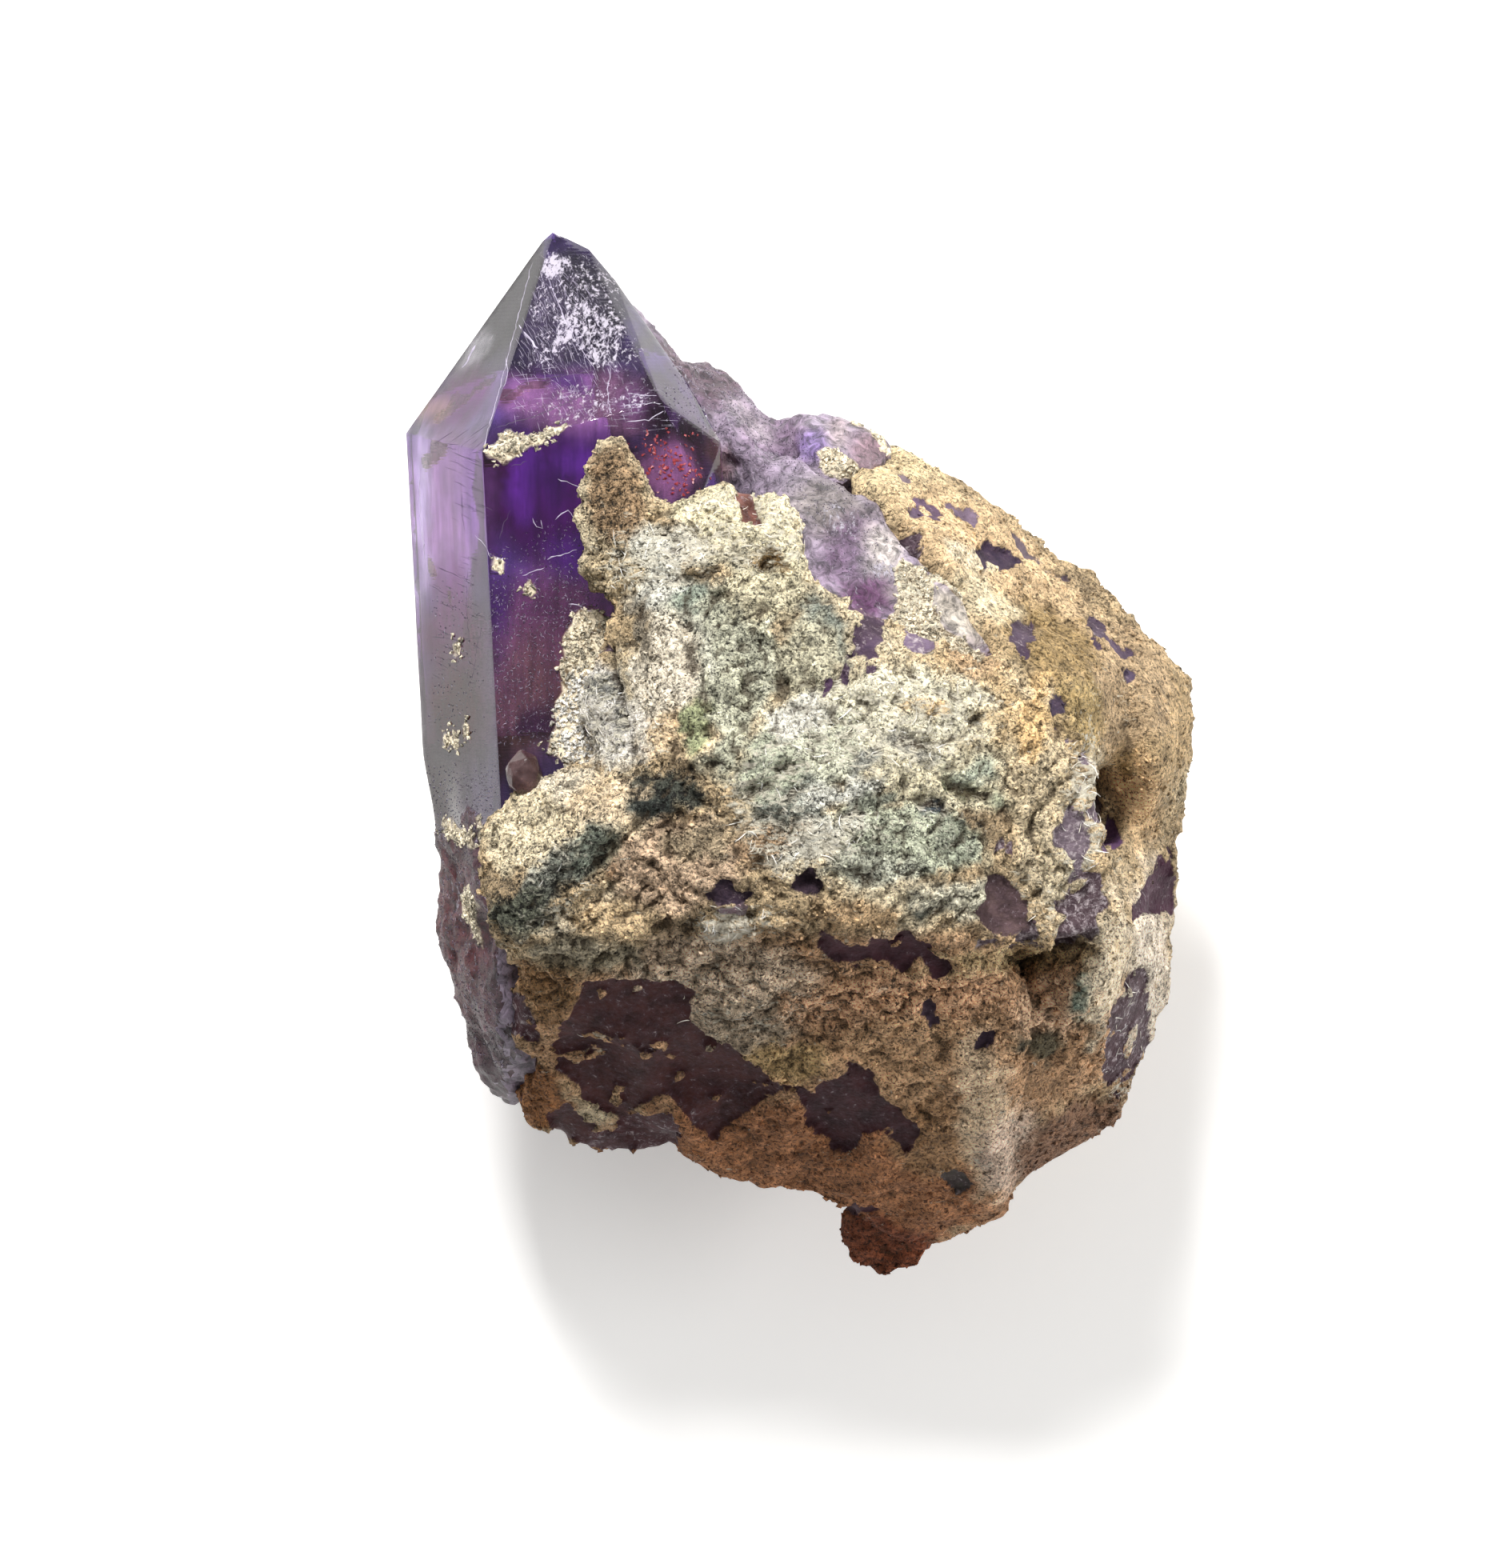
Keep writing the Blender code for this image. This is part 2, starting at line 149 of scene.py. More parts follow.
# How far each point lies inside an ellipse on the photograph, in mm. An ellipse is its middle column
# and row, two radii in pixels, and a turn in degrees; it reaches a little way into the specimen.
def ellipseDepth(points, ellipse, tree):
    column, row, across, down, turn = ellipse
    x, y = fromPhoto(column, row)
    hit = dropTo(tree, x, y)[0]
    if hit is None:
        hit = tree.find_nearest(Vector((x, y, midHeight)))[0]
    angle = math.radians(turn)
    offset = points - np.array(hit)
    along = offset[:, 0] * math.cos(angle) + offset[:, 1] * math.sin(angle)
    aside = offset[:, 1] * math.cos(angle) - offset[:, 0] * math.sin(angle)
    wide, high = across / photo["pixelsPerMm"] * mm, down / photo["pixelsPerMm"] * mm
    deep = 1.5 * max(wide, high) + 0.6 * mm
    ratio = np.sqrt((along / wide) ** 2 + (aside / high) ** 2 + (offset[:, 2] / deep) ** 2)
    return (1.0 - ratio) * min(wide, high) / mm


def inEllipse(points, ellipse, tree, soft, jitter):  # 1 inside and 0 outside, with a soft edge
    return smoothStep(-soft, soft, ellipseDepth(points, ellipse, tree) + jitter)


def corners(outline):  # "column,row column,row" as an array of x and y in metres
    return np.array([fromPhoto(*map(float, pair.split(","))) for pair in outline.split()])


# How far each point lies inside an outline drawn on the photograph, in mm, and below zero outside
def outlineDepth(points, outline):
    ring = corners(outline)
    reach = farthest * mm
    near = np.all((points[:, :2] > ring.min(0) - reach) & (points[:, :2] < ring.max(0) + reach), axis=1)
    place = points[near, :2]
    gap = np.full(len(place), reach)
    inside = np.zeros(len(place), dtype=bool)
    for start, end in zip(ring, np.roll(ring, -1, axis=0)):
        side = end - start
        along = np.clip(((place - start) @ side) / (side @ side), 0.0, 1.0)
        gap = np.minimum(gap, np.linalg.norm(place - start - along[:, None] * side, axis=1))
        crosses = (start[1] > place[:, 1]) != (end[1] > place[:, 1])
        rise = side[1] if side[1] else 1e-12
        inside ^= crosses & (place[:, 0] < start[0] + (place[:, 1] - start[1]) / rise * side[0])
    depth = np.full(len(points), -farthest)
    depth[near] = np.where(inside, gap, -gap) / mm
    return depth


def plain(hexColour, count):  # one colour, for this many points
    return np.tile(np.array(linear(hexColour)), (count, 1))


def paint(colours, hexColour, share):
    colours += (np.array(linear(hexColour)) - colours) * share[:, None]


print("stage 1: the crystal's mesh")

crystalForm = {
    "facetArea": 2.5 * mm * mm,  # a face larger than this is one of the crystal's own flat faces
    "edgeWear": 0.06 * mm,  # the worn edges between them
    "edgeLength": 0.6 * mm,  # no edge of the mesh is longer, on the flat faces
    "brokenEdgeLength": 0.36 * mm,  # and on the broken ones
    "fractureRelief": 0.38 * mm,
    "fractureSize": 1.6 * mm,
    "faceWaves": 0.012 * mm,  # growth hillocks, so low that only the gloss shows them
    "faceWaveSize": 2.2 * mm,
    "footRows": (930, 1037),
    "footTaper": 0.38 * mm,
    "flatAngle": math.radians(0.4),
    "ridgeAngle": math.radians(12),
    "sharpAngle": math.radians(30),
}


# The same mesh, with its points and faces in the order of where they lie. A bevel leaves them in an
# order that changes from run to run, and every later step would differ with it.
def inOrder(bm, layer):
    bm.verts.index_update()
    spots = [tuple(v.co) for v in bm.verts]
    order = sorted(range(len(spots)), key=lambda i: ([round(c, 6) for c in spots[i]], spots[i]))
    rank = {old: new for new, old in enumerate(order)}
    rows = []
    for f in bm.faces:
        ring = [rank[v.index] for v in f.verts]
        first = ring.index(min(ring))
        rows.append((ring[first:] + ring[:first], f[layer]))
    made = bmesh.new()
    madeLayer = made.faces.layers.int.new(layer.name)
    verts = [made.verts.new(spots[i]) for i in order]
    for ring, value in sorted(rows):
        made.faces.new([verts[i] for i in ring])[madeLayer] = value
    bm.free()
    made.normal_update()
    return made, madeLayer


def buildCrystalMesh():
    form = crystalForm
    bm = mergedCopy("amethyst_crystal")
    isFlat = bm.faces.layers.int.new("flatFace")
    bmesh.ops.dissolve_limit(bm, angle_limit=form["flatAngle"], verts=bm.verts, edges=bm.edges)
    flat = {f for f in bm.faces if f.calc_area() > form["facetArea"]}
    for f in flat:
        f[isFlat] = 1
    ridges = [
        e for e in bm.edges if flat.issuperset(e.link_faces) and e.calc_face_angle() > form["ridgeAngle"]
    ]
    bmesh.ops.bevel(bm, geom=ridges, offset=form["edgeWear"], segments=2, profile=0.6, affect="EDGES")
    bm, isFlat = inOrder(bm, isFlat)
    bmesh.ops.triangulate(bm, faces=bm.faces)
    for attempt in range(7):
        besideFlat = [any(f[isFlat] for f in e.link_faces) for e in bm.edges]
        limits = [form["edgeLength" if beside else "brokenEdgeLength"] for beside in besideFlat]
        long = [e for e, limit in zip(bm.edges, limits) if e.calc_length() > limit]
        if not long:
            break
        bmesh.ops.subdivide_edges(bm, edges=long, cuts=1)
        bmesh.ops.triangulate(bm, faces=bm.faces)
    broken = [v for v in bm.verts if not any(f[isFlat] for f in v.link_faces)]
    for attempt in range(3):
        bmesh.ops.smooth_vert(bm, verts=broken, factor=0.5, use_axis_x=True, use_axis_y=True, use_axis_z=True)
    bm.verts.index_update()
    brokenShare = np.zeros(len(bm.verts))
    brokenShare[[v.index for v in broken]] = 1.0
    bmesh.ops.recalc_face_normals(bm, faces=bm.faces)
    mesh = meshFrom(bm, "amethystCrystal")

    places, normals = vertexArrays(mesh)
    # folded noise, so that smooth hollows meet in sharp ridges
    fracture = 0.22 - np.abs(noiseAt(places, form["fractureSize"], 4.0, 3))
    waves = noiseAt(places, form["faceWaveSize"], 9.0, 2)
    lift = brokenShare * fracture * form["fractureRelief"]
    lift += (1.0 - brokenShare) * waves * form["faceWaves"]
    places += normals * lift[:, None]
    # the prism's foot tapers to meet the broken flank below it
    top, low = [fromPhoto(0, row)[1] for row in form["footRows"]]
    taper = smoothStep(0.0, 1.0, (top - places[:, 1]) / (top - low)) * (places[:, 1] > low - 0.1 * mm)
    places[:, 0] += form["footTaper"] * taper * smoothStep(14.4, 15.6, -places[:, 0] / mm)
    setPlaces(mesh, places)
    mesh.set_sharp_from_angle(angle=form["sharpAngle"])
    return mesh, brokenShare


crystalMesh, crystalBroken = buildCrystalMesh()
crystalTree = surfaceTree(crystalMesh)
print("  triangles:", len(crystalMesh.polygons))

# Where each colour of the crystal lies, painted in this order, on either side of its long ridge: an
# ellipse on the photograph, the colour, and how soft its edge is in mm
crystalColours = {
    "front": [
        (700, 610, 120, 100, 0, "#280023", 0.7),  # the deep violet of the prism's front face
        (700, 640, 66, 70, 10, "#330239", 0.6),
        (690, 600, 26, 34, 0, "#2b033c", 0.5),
        (655, 600, 14, 60, 0, "#51177a", 0.4),
        (740, 585, 30, 20, -10, "#51197a", 0.4),
        (613, 640, 10, 70, 0, "#43203f", 0.3),
        (745, 548, 50, 12, 6, "#3a0c50", 0.3),
        (700, 800, 100, 90, 0, "#75445a", 0.9),  # brownish where the matrix shines through
        (650, 870, 60, 80, 0, "#936460", 1.0),
        (625, 760, 14, 70, 0, "#45225c", 0.5),
        (720, 700, 30, 26, 0, "#4a1a6a", 0.5),
        (672, 905, 24, 24, 0, "#4c283e", 0.3),
        (720, 500, 115, 40, -8, "#b27aa5", 0.5),  # magenta band of the termination
        (690, 470, 60, 14, -12, "#5d3472", 0.3),
        (800, 505, 34, 24, 10, "#a06aa8", 0.4),
        (715, 390, 72, 84, -12, "#544d62", 0.5),  # etched termination, its silvery grey partly a painted sheen
        (642, 440, 18, 36, 12, "#2f2843", 0.4),
        (745, 430, 26, 36, -30, "#3f3753", 0.5),
        (850, 545, 38, 80, 12, "#2a041f", 0.6),  # the right face
        (868, 590, 18, 40, 0, "#3e1036", 0.5),
        (838, 590, 34, 36, 20, "#d689d1", 0.4),
        (836, 490, 24, 48, 12, "#1c0620", 0.5),
        (902, 575, 16, 40, 24, "#7a5048", 0.3),
        (870, 460, 70, 75, -45, "#57434d", 0.8),  # the crystals behind
        (815, 425, 14, 50, -30, "#5c4f62", 0.4),
        (870, 500, 14, 40, -30, "#58445c", 0.5),
        (960, 545, 60, 40, -35, "#7b667c", 0.8),
        (940, 530, 30, 12, -45, "#a698a1", 0.5),
        (1016, 556, 20, 18, 0, "#75608f", 0.4),
        (1050, 545, 12, 20, 0, "#b09ea2", 0.4),
        (1085, 562, 26, 30, -30, "#886d77", 0.5),
        (1040, 640, 60, 40, -30, "#7a7170", 0.7),  # the quartz band
        (1056, 690, 30, 44, -30, "#665068", 0.7),
        (1104, 690, 26, 30, -30, "#b8aeaa", 0.5),
        (1088, 750, 40, 24, 0, "#5b3858", 0.4),
        (1140, 745, 26, 20, 0, "#93898a", 0.5),
        (1196, 772, 44, 24, -45, "#b4aa9e", 0.5),
        (605, 955, 40, 56, 0, "#44202c", 0.5),
    ],
    "left": [
        (620, 380, 60, 110, -35, "#2f2231", 0.7),  # smoky
        # painted reflection: a pale streak on the smoky tip
        (588, 447, 9, 26, -35, "#e4dee8", 0.3),
        (575, 500, 50, 40, 30, "#660d64", 0.5),  # lilac
        (540, 512, 20, 16, 0, "#d8a48e", 0.5),  # a tan tint
        (560, 640, 60, 90, 0, "#c093b3", 1.0),  # pale lilac prism face
        (592, 620, 16, 70, 0, "#8d599e", 0.5),
        # painted highlight: a near-white strip along the left edge of the prism face
        (529, 640, 9, 90, 0, "#fbf6ff", 0.4),
        (565, 735, 30, 36, 0, "#7b316d", 0.6),
        (565, 800, 60, 60, 0, "#6b2150", 1.0),
        (570, 890, 60, 70, 0, "#490310", 1.0),
        (552, 948, 20, 14, 0, "#4a4356", 0.3),
        (545, 1010, 60, 80, 0, "#3c1218", 0.8),  # the flank, a red-brown glass at the top
        (560, 1180, 60, 130, 0, "#4a171c", 1.0),
    ],
}

# Etched, scratched or broken places that look white, with a painted sheen on the etched termination and a
# painted reflection at the tip: an ellipse, and how much of them
etchedWhitesAndPaintedSheen = {
    "front": [
        # the etched termination, its white partly a painted sheen
        (718, 380, 66, 84, -12, 0.56),
        # painted reflection: a white spot at the tip
        (692, 335, 26, 20, 0, 0.95),
        (712, 410, 16, 60, -26, 0.92),
        (790, 440, 20, 40, -30, 0.6),
        (740, 508, 90, 34, 8, 0.56),
        (800, 505, 30, 24, 0, 0.62),
        (840, 560, 40, 60, 12, 0.22),
        (860, 440, 50, 60, -45, 0.5),
        (900, 500, 60, 40, -45, 0.45),
        (960, 565, 60, 26, -30, 0.5),
        (1050, 650, 50, 30, -30, 0.55),
        (1104, 712, 30, 16, 0, 0.8),
        (1060, 745, 40, 12, 0, 0.55),
        (1140, 745, 26, 26, 0, 0.6),
        (672, 455, 26, 22, 0, 0.56),
        (752, 425, 36, 54, -28, 0.7),
    ],
    "left": [
        (600, 400, 10, 60, -35, 0.35),
        (556, 1040, 14, 26, 10, 0.6),
        (575, 1120, 12, 40, -10, 0.7),
        (590, 1200, 24, 30, 0, 0.46),
        (570, 1270, 12, 30, 0, 0.6),
    ],
}

crustOnCrystal = [  # outlines of crust that lies on the quartz
    "706,800 716,772 728,764 744,760 770,790 775,960 712,962 700,948 684,950 690,920 700,902 694,880 706,862"
    " 699,830 712,816",
    "1122,700 1150,705 1166,735 1163,760 1180,790 1215,812 1245,830 1200,860 1150,830 1120,790 1095,790"
    " 1120,765",
    "1150,690 1180,715 1215,750 1245,790 1260,830 1236,806 1206,762 1185,738 1160,722",
    "600,579 604,567 623,557 628,540 638,537 648,547 677,543 697,535 721,529 702,543 667,558 655,569"
    " 638,576 632,583 628,576 611,578",
    "613,690 621,697 636,709 631,716 618,712",
    "657,739 665,731 673,744 663,746",
    "567,803 577,803 575,826 568,824",
    "578,900 590,903 583,920",
    "555,920 569,918 574,937 557,935",
    "1055,520 1084,526 1106,548 1118,572 1104,566 1090,540 1066,530",
    "1020,566 1040,556 1062,575 1078,588 1100,590 1110,600 1060,604 1030,590",
    "548,1028 566,1018 572,1034 590,1040 596,1062 578,1052 560,1052",
    "600,1020 612,1040 616,1090 606,1070 598,1040",
    "575,1120 590,1110 600,1150 606,1190 594,1170 584,1150",
]

# Where the small marks lie on the faces: the attribute that the scatters read, and the side, outline
# and share of each place
crystalMarks = {
    "curlShare": [
        ("front", "612,740 690,715 755,730 740,800 700,930 612,930", 1.0),
        ("front", "612,690 690,660 760,640 760,740 612,750", 0.4),
        ("front", "790,480 880,500 880,620 800,600", 0.3),
        ("left", "540,740 600,720 600,920 540,920", 0.2),
        ("left", "530,960 620,960 640,1340 540,1330", 0.5),
        ("front", "830,400 900,440 1000,540 1100,640 1140,720 1060,740 960,600 850,520", 0.35),
    ],
    "scratchShare": [
        ("front", "660,325 700,318 745,370 775,430 782,470 700,470 640,452 650,390", 1.0),
        ("front", "640,450 782,470 790,520 640,535", 0.3),
        ("front", "815,390 880,430 960,530 940,560 850,480", 0.5),
    ],
    "bandShare": [
        ("front", "740,484 835,486 842,540 770,545", 1.0),
        ("front", "640,455 740,470 740,520 640,530", 0.4),
    ],
    "lineShare": [
        ("left", "560,548 606,548 606,650 572,650", 1.0),
        ("left", "540,700 600,690 600,850 545,850", 0.4),
    ],
    "fleckShare": [
        ("front", "800,556 812,545 830,552 845,560 870,585 878,600 868,625 850,622 830,605 812,590", 1.0),
        ("front", "842,520 860,540 884,600 878,612 856,570", 0.35),
    ],
}

crystalDress = {
    "leftOf": 680,  # the left side lies left of this column, and its faces' normals point left
    "leftNormal": -0.35,
}


def dressCrystal(mesh):
    places, normals = vertexArrays(mesh)
    vertexOfLoop = np.zeros(len(mesh.loops), dtype=np.int32)
    mesh.loops.foreach_get("vertex_index", vertexOfLoop)
    faceNormals = np.zeros(len(mesh.polygons) * 3)
    mesh.polygons.foreach_get("normal", faceNormals)
    at = places[vertexOfLoop]
    onLeft = places[:, 0] < fromPhoto(crystalDress["leftOf"], 0)[0]
    leftPoints = onLeft & (normals[:, 0] < crystalDress["leftNormal"])
    leftFaces = np.repeat(faceNormals.reshape(-1, 3)[:, 0] < crystalDress["leftNormal"], 3)
    leftFaces &= onLeft[vertexOfLoop]
    broken = crystalBroken[vertexOfLoop]
    jitter = (noiseAt(places, 1.4 * mm, 2.0, 3) * 0.35)[vertexOfLoop]
    colours = plain("#5a4484", len(at))
    paint(colours, "#7a6890", leftFaces)
    paint(colours, "#8f8192", broken * ~leftFaces)
    paint(colours, "#3f222c", broken * leftFaces)
    frost = np.where(broken > 0.5, np.where(leftFaces, 0.12, 0.34), 0.02)
    for side, here in (("front", ~leftFaces), ("left", leftFaces)):
        for *ellipse, hexColour, soft in crystalColours[side]:
            paint(colours, hexColour, inEllipse(at, ellipse, crystalTree, soft, jitter) * here)
        for *ellipse, density in etchedWhitesAndPaintedSheen[side]:
            frost = np.maximum(frost, density * inEllipse(at, ellipse, crystalTree, 0.7, jitter) * here)
    crusted = np.full(len(places), -farthest)
    for outline in crustOnCrystal:
        crusted = np.maximum(crusted, outlineDepth(places, outline))
    crusted += 0.25 * noiseAt(places, 0.7 * mm, 31.0, 2)
    storeValues(mesh, "tint", colours, "CORNER")
    storeValues(mesh, "frost", frost, "CORNER")
    storeValues(mesh, "crusted", crusted)
    storeValues(mesh, "broken", crystalBroken)
    upward = normals[:, 2] > 0.0
    storeValues(mesh, "crustShare", smoothStep(0.0, 0.15, crusted) * upward)
    for name, marks in crystalMarks.items():
        share = np.zeros(len(places))
        for side, outline, much in marks:
            here = upward & (leftPoints == (side == "left"))
            share = np.maximum(share, much * here * smoothStep(-0.3, 0.4, outlineDepth(places, outline)))
        storeValues(mesh, name, share)
    # the grains that lie on the crystal read these as they do on the matrix
    ground = plain("#e8dcc2", len(places))
    paint(ground, "#fffbf2", inEllipse(places, (735, 900, 46, 60, 0), crystalTree, 0.4, 0.0))
    storeValues(mesh, "ground", ground)
    storeValues(mesh, "rugged", np.full(len(places), 0.9))
    storeValues(mesh, "window", np.full(len(places), -farthest))


dressCrystal(crystalMesh)

print("stage 2: the matrix's mesh")

matrixForm = {
    "voxel": 0.228 * mm,
    "crustThickness": 0.22 * mm,  # the crust stands this far above the quartz that shows through it
    "lumps": (2.6 * mm, 0.2 * mm),  # size and height of each scale of relief
    "knobs": (1.1 * mm, 0.62 * mm),
    "grain": (0.5 * mm, 0.36 * mm),
    "islandSize": 1.5 * mm,
    "touchDepth": 0.07 * mm,  # how far the rock bites into the crystal that it holds
    "touchReach": 0.8 * mm,
    "footHeight": 1.0 * mm,  # the relief fades out towards the flat fracture that it lies on
}

# The windows of quartz in the crust: outline, colour, and how hazy the quartz is
quartzWindows = [
    ("912,590 922,586 936,600 948,628 952,652 944,662 930,650 920,625", "#7d5244", 0.2),
    ("1020,1160 1049,1177 1074,1181 1098,1172 1135,1159 1148,1170 1164,1188 1181,1201 1188,1215 1170,1222"
     " 1159,1212 1148,1195 1140,1198 1126,1212 1112,1201 1088,1198 1064,1205 1033,1200", "#44282e", 0.05),
    ("882,1114 899,1101 934,1101 948,1119 929,1128 899,1133", "#2e2430", 0.1),
    ("894,1148 885,1131 905,1132 934,1130 930,1150 912,1168", "#af959d", 0.5),
    ("985,1109 1002,1084 1012,1082 1029,1104 1024,1116 1002,1121", "#342932", 0.05),
    ("1226,1114 1234,1088 1260,1100 1280,1133 1282,1158 1253,1173 1218,1153", "#544342", 0.1),
    ("1248,1045 1260,1055 1256,1084 1233,1086 1238,1060", "#544348", 0.4),
    ("1282,1138 1292,1123 1331,1128 1331,1085 1373,1092 1380,1138 1376,1150 1351,1173 1317,1187 1292,1182"
     " 1253,1184 1213,1182 1223,1168 1255,1172 1282,1158", "#463a3c", 0.42),
    ("1333,925 1350,930 1366,960 1376,1000 1372,1030 1354,1020 1346,985 1336,960", "#6e636b", 0.36),
    ("1330,1005 1352,1014 1358,1050 1350,1090 1362,1110 1350,1120 1330,1100 1314,1072 1312,1040 1322,1030",
     "#70656d", 0.38),
    ("1308,878 1315,869 1331,878 1331,894 1321,897 1319,913 1314,917 1310,901 1302,897", "#3c3344", 0.1),
    ("1261,783 1272,776 1290,783 1293,797 1283,803 1285,826 1278,826 1272,815 1264,803", "#3c3040", 0.2),
    ("1359,775 1363,762 1380,779 1384,794 1403,806 1419,819 1403,825 1388,813 1373,813 1363,798",
     "#4c4050", 0.15),
    ("1403,836 1411,831 1422,840 1415,852 1407,854", "#463c4e", 0.1),
    ("1373,1043 1384,1020 1398,1035 1399,1054 1382,1062", "#5c4262", 0.1),
    ("1403,1157 1407,1138 1426,1119 1434,1104 1449,1069 1466,1060 1472,1104 1470,1142 1430,1142",
     "#412734", 0.15),
    ("1487,842 1497,852 1503,880 1497,905 1490,880", "#6b5868", 0.1),
    ("996,1364 1022,1357 1057,1336 1052,1321 1071,1331 1095,1340 1098,1364 1112,1381 1126,1385 1129,1398"
     " 1147,1405 1148,1423 1136,1442 1112,1424 1088,1416 1079,1419 1074,1433 1057,1446 1039,1436 1008,1402"
     " 1003,1381", "#3c1c1e", 0.05),
    ("1148,1248 1160,1246 1171,1274 1164,1281 1153,1267", "#483a48", 0.1),
    ("1212,1309 1226,1290 1250,1284 1233,1305 1224,1315", "#3f3440", 0.1),
    ("1172,1464 1195,1461 1212,1476 1217,1492 1198,1493 1185,1478", "#55524a", 0.2),
    ("1038,1509 1067,1507 1100,1514 1091,1521 1050,1517", "#4a3036", 0.0),
    ("727,1229 736,1222 791,1222 845,1224 868,1242 862,1276 905,1300 945,1330 985,1360 930,1390 918,1395"
     " 895,1426 872,1413 855,1395 836,1363 791,1388 750,1408 732,1431 691,1422 686,1395 727,1376 723,1354"
     " 695,1335 691,1313 705,1276 720,1263", "#462521", 0.1),
    ("755,1404 800,1392 840,1392 850,1425 832,1452 730,1458 705,1446 722,1432", "#441f1d", 0.25),
    ("556,1150 600,1160 632,1200 650,1240 668,1270 682,1310 668,1335 640,1325 603,1328 585,1345 620,1400"
     " 680,1450 640,1470 540,1330", "#3c181a", 0.3),
    ("1011,586 1043,589 1046,602 1063,617 1046,610 1025,597", "#5e4a62", 0.1),
    ("1119,596 1130,595 1139,603 1128,604", "#8a7a80", 0.1),
    ("1131,640 1148,637 1139,625 1158,622 1170,633 1178,644 1172,653 1155,647 1134,648", "#5d4b60", 0.1),
    ("1185,630 1198,633 1223,645 1218,657 1204,650", "#6f6070", 0.1),
    ("1218,690 1229,682 1226,673 1238,676 1240,685 1263,690 1278,704 1266,710 1253,718 1235,707",
     "#352a3c", 0.05),
    ("1261,664 1272,673 1297,701 1338,724 1321,722 1287,698 1269,680", "#5a5055", 0.1),
    ("1124,670 1148,667 1156,679 1156,699 1136,701 1122,691", "#55464e", 0.3),
    ("1051,732 1087,725 1124,713 1148,725 1133,750 1124,763 1102,775 1083,769 1062,763", "#5c4658", 0.25),
    ("1083,769 1105,775 1099,803 1093,846 1082,843 1083,824 1066,821 1059,837 1056,858 1049,852 1056,818"
     " 1065,812 1066,787", "#46384a", 0.2),
    ("1130,778 1148,769 1167,784 1170,809 1151,815 1142,821 1130,806", "#6f6076", 0.4),
    ("1028,852 1040,849 1040,861 1031,874", "#4a3550", 0.1),
    ("1405,1215 1428,1210 1436,1240 1441,1290 1438,1340 1420,1375 1395,1372 1380,1350 1378,1310 1392,1260",
     "#3e2c2f", 0.28),
]

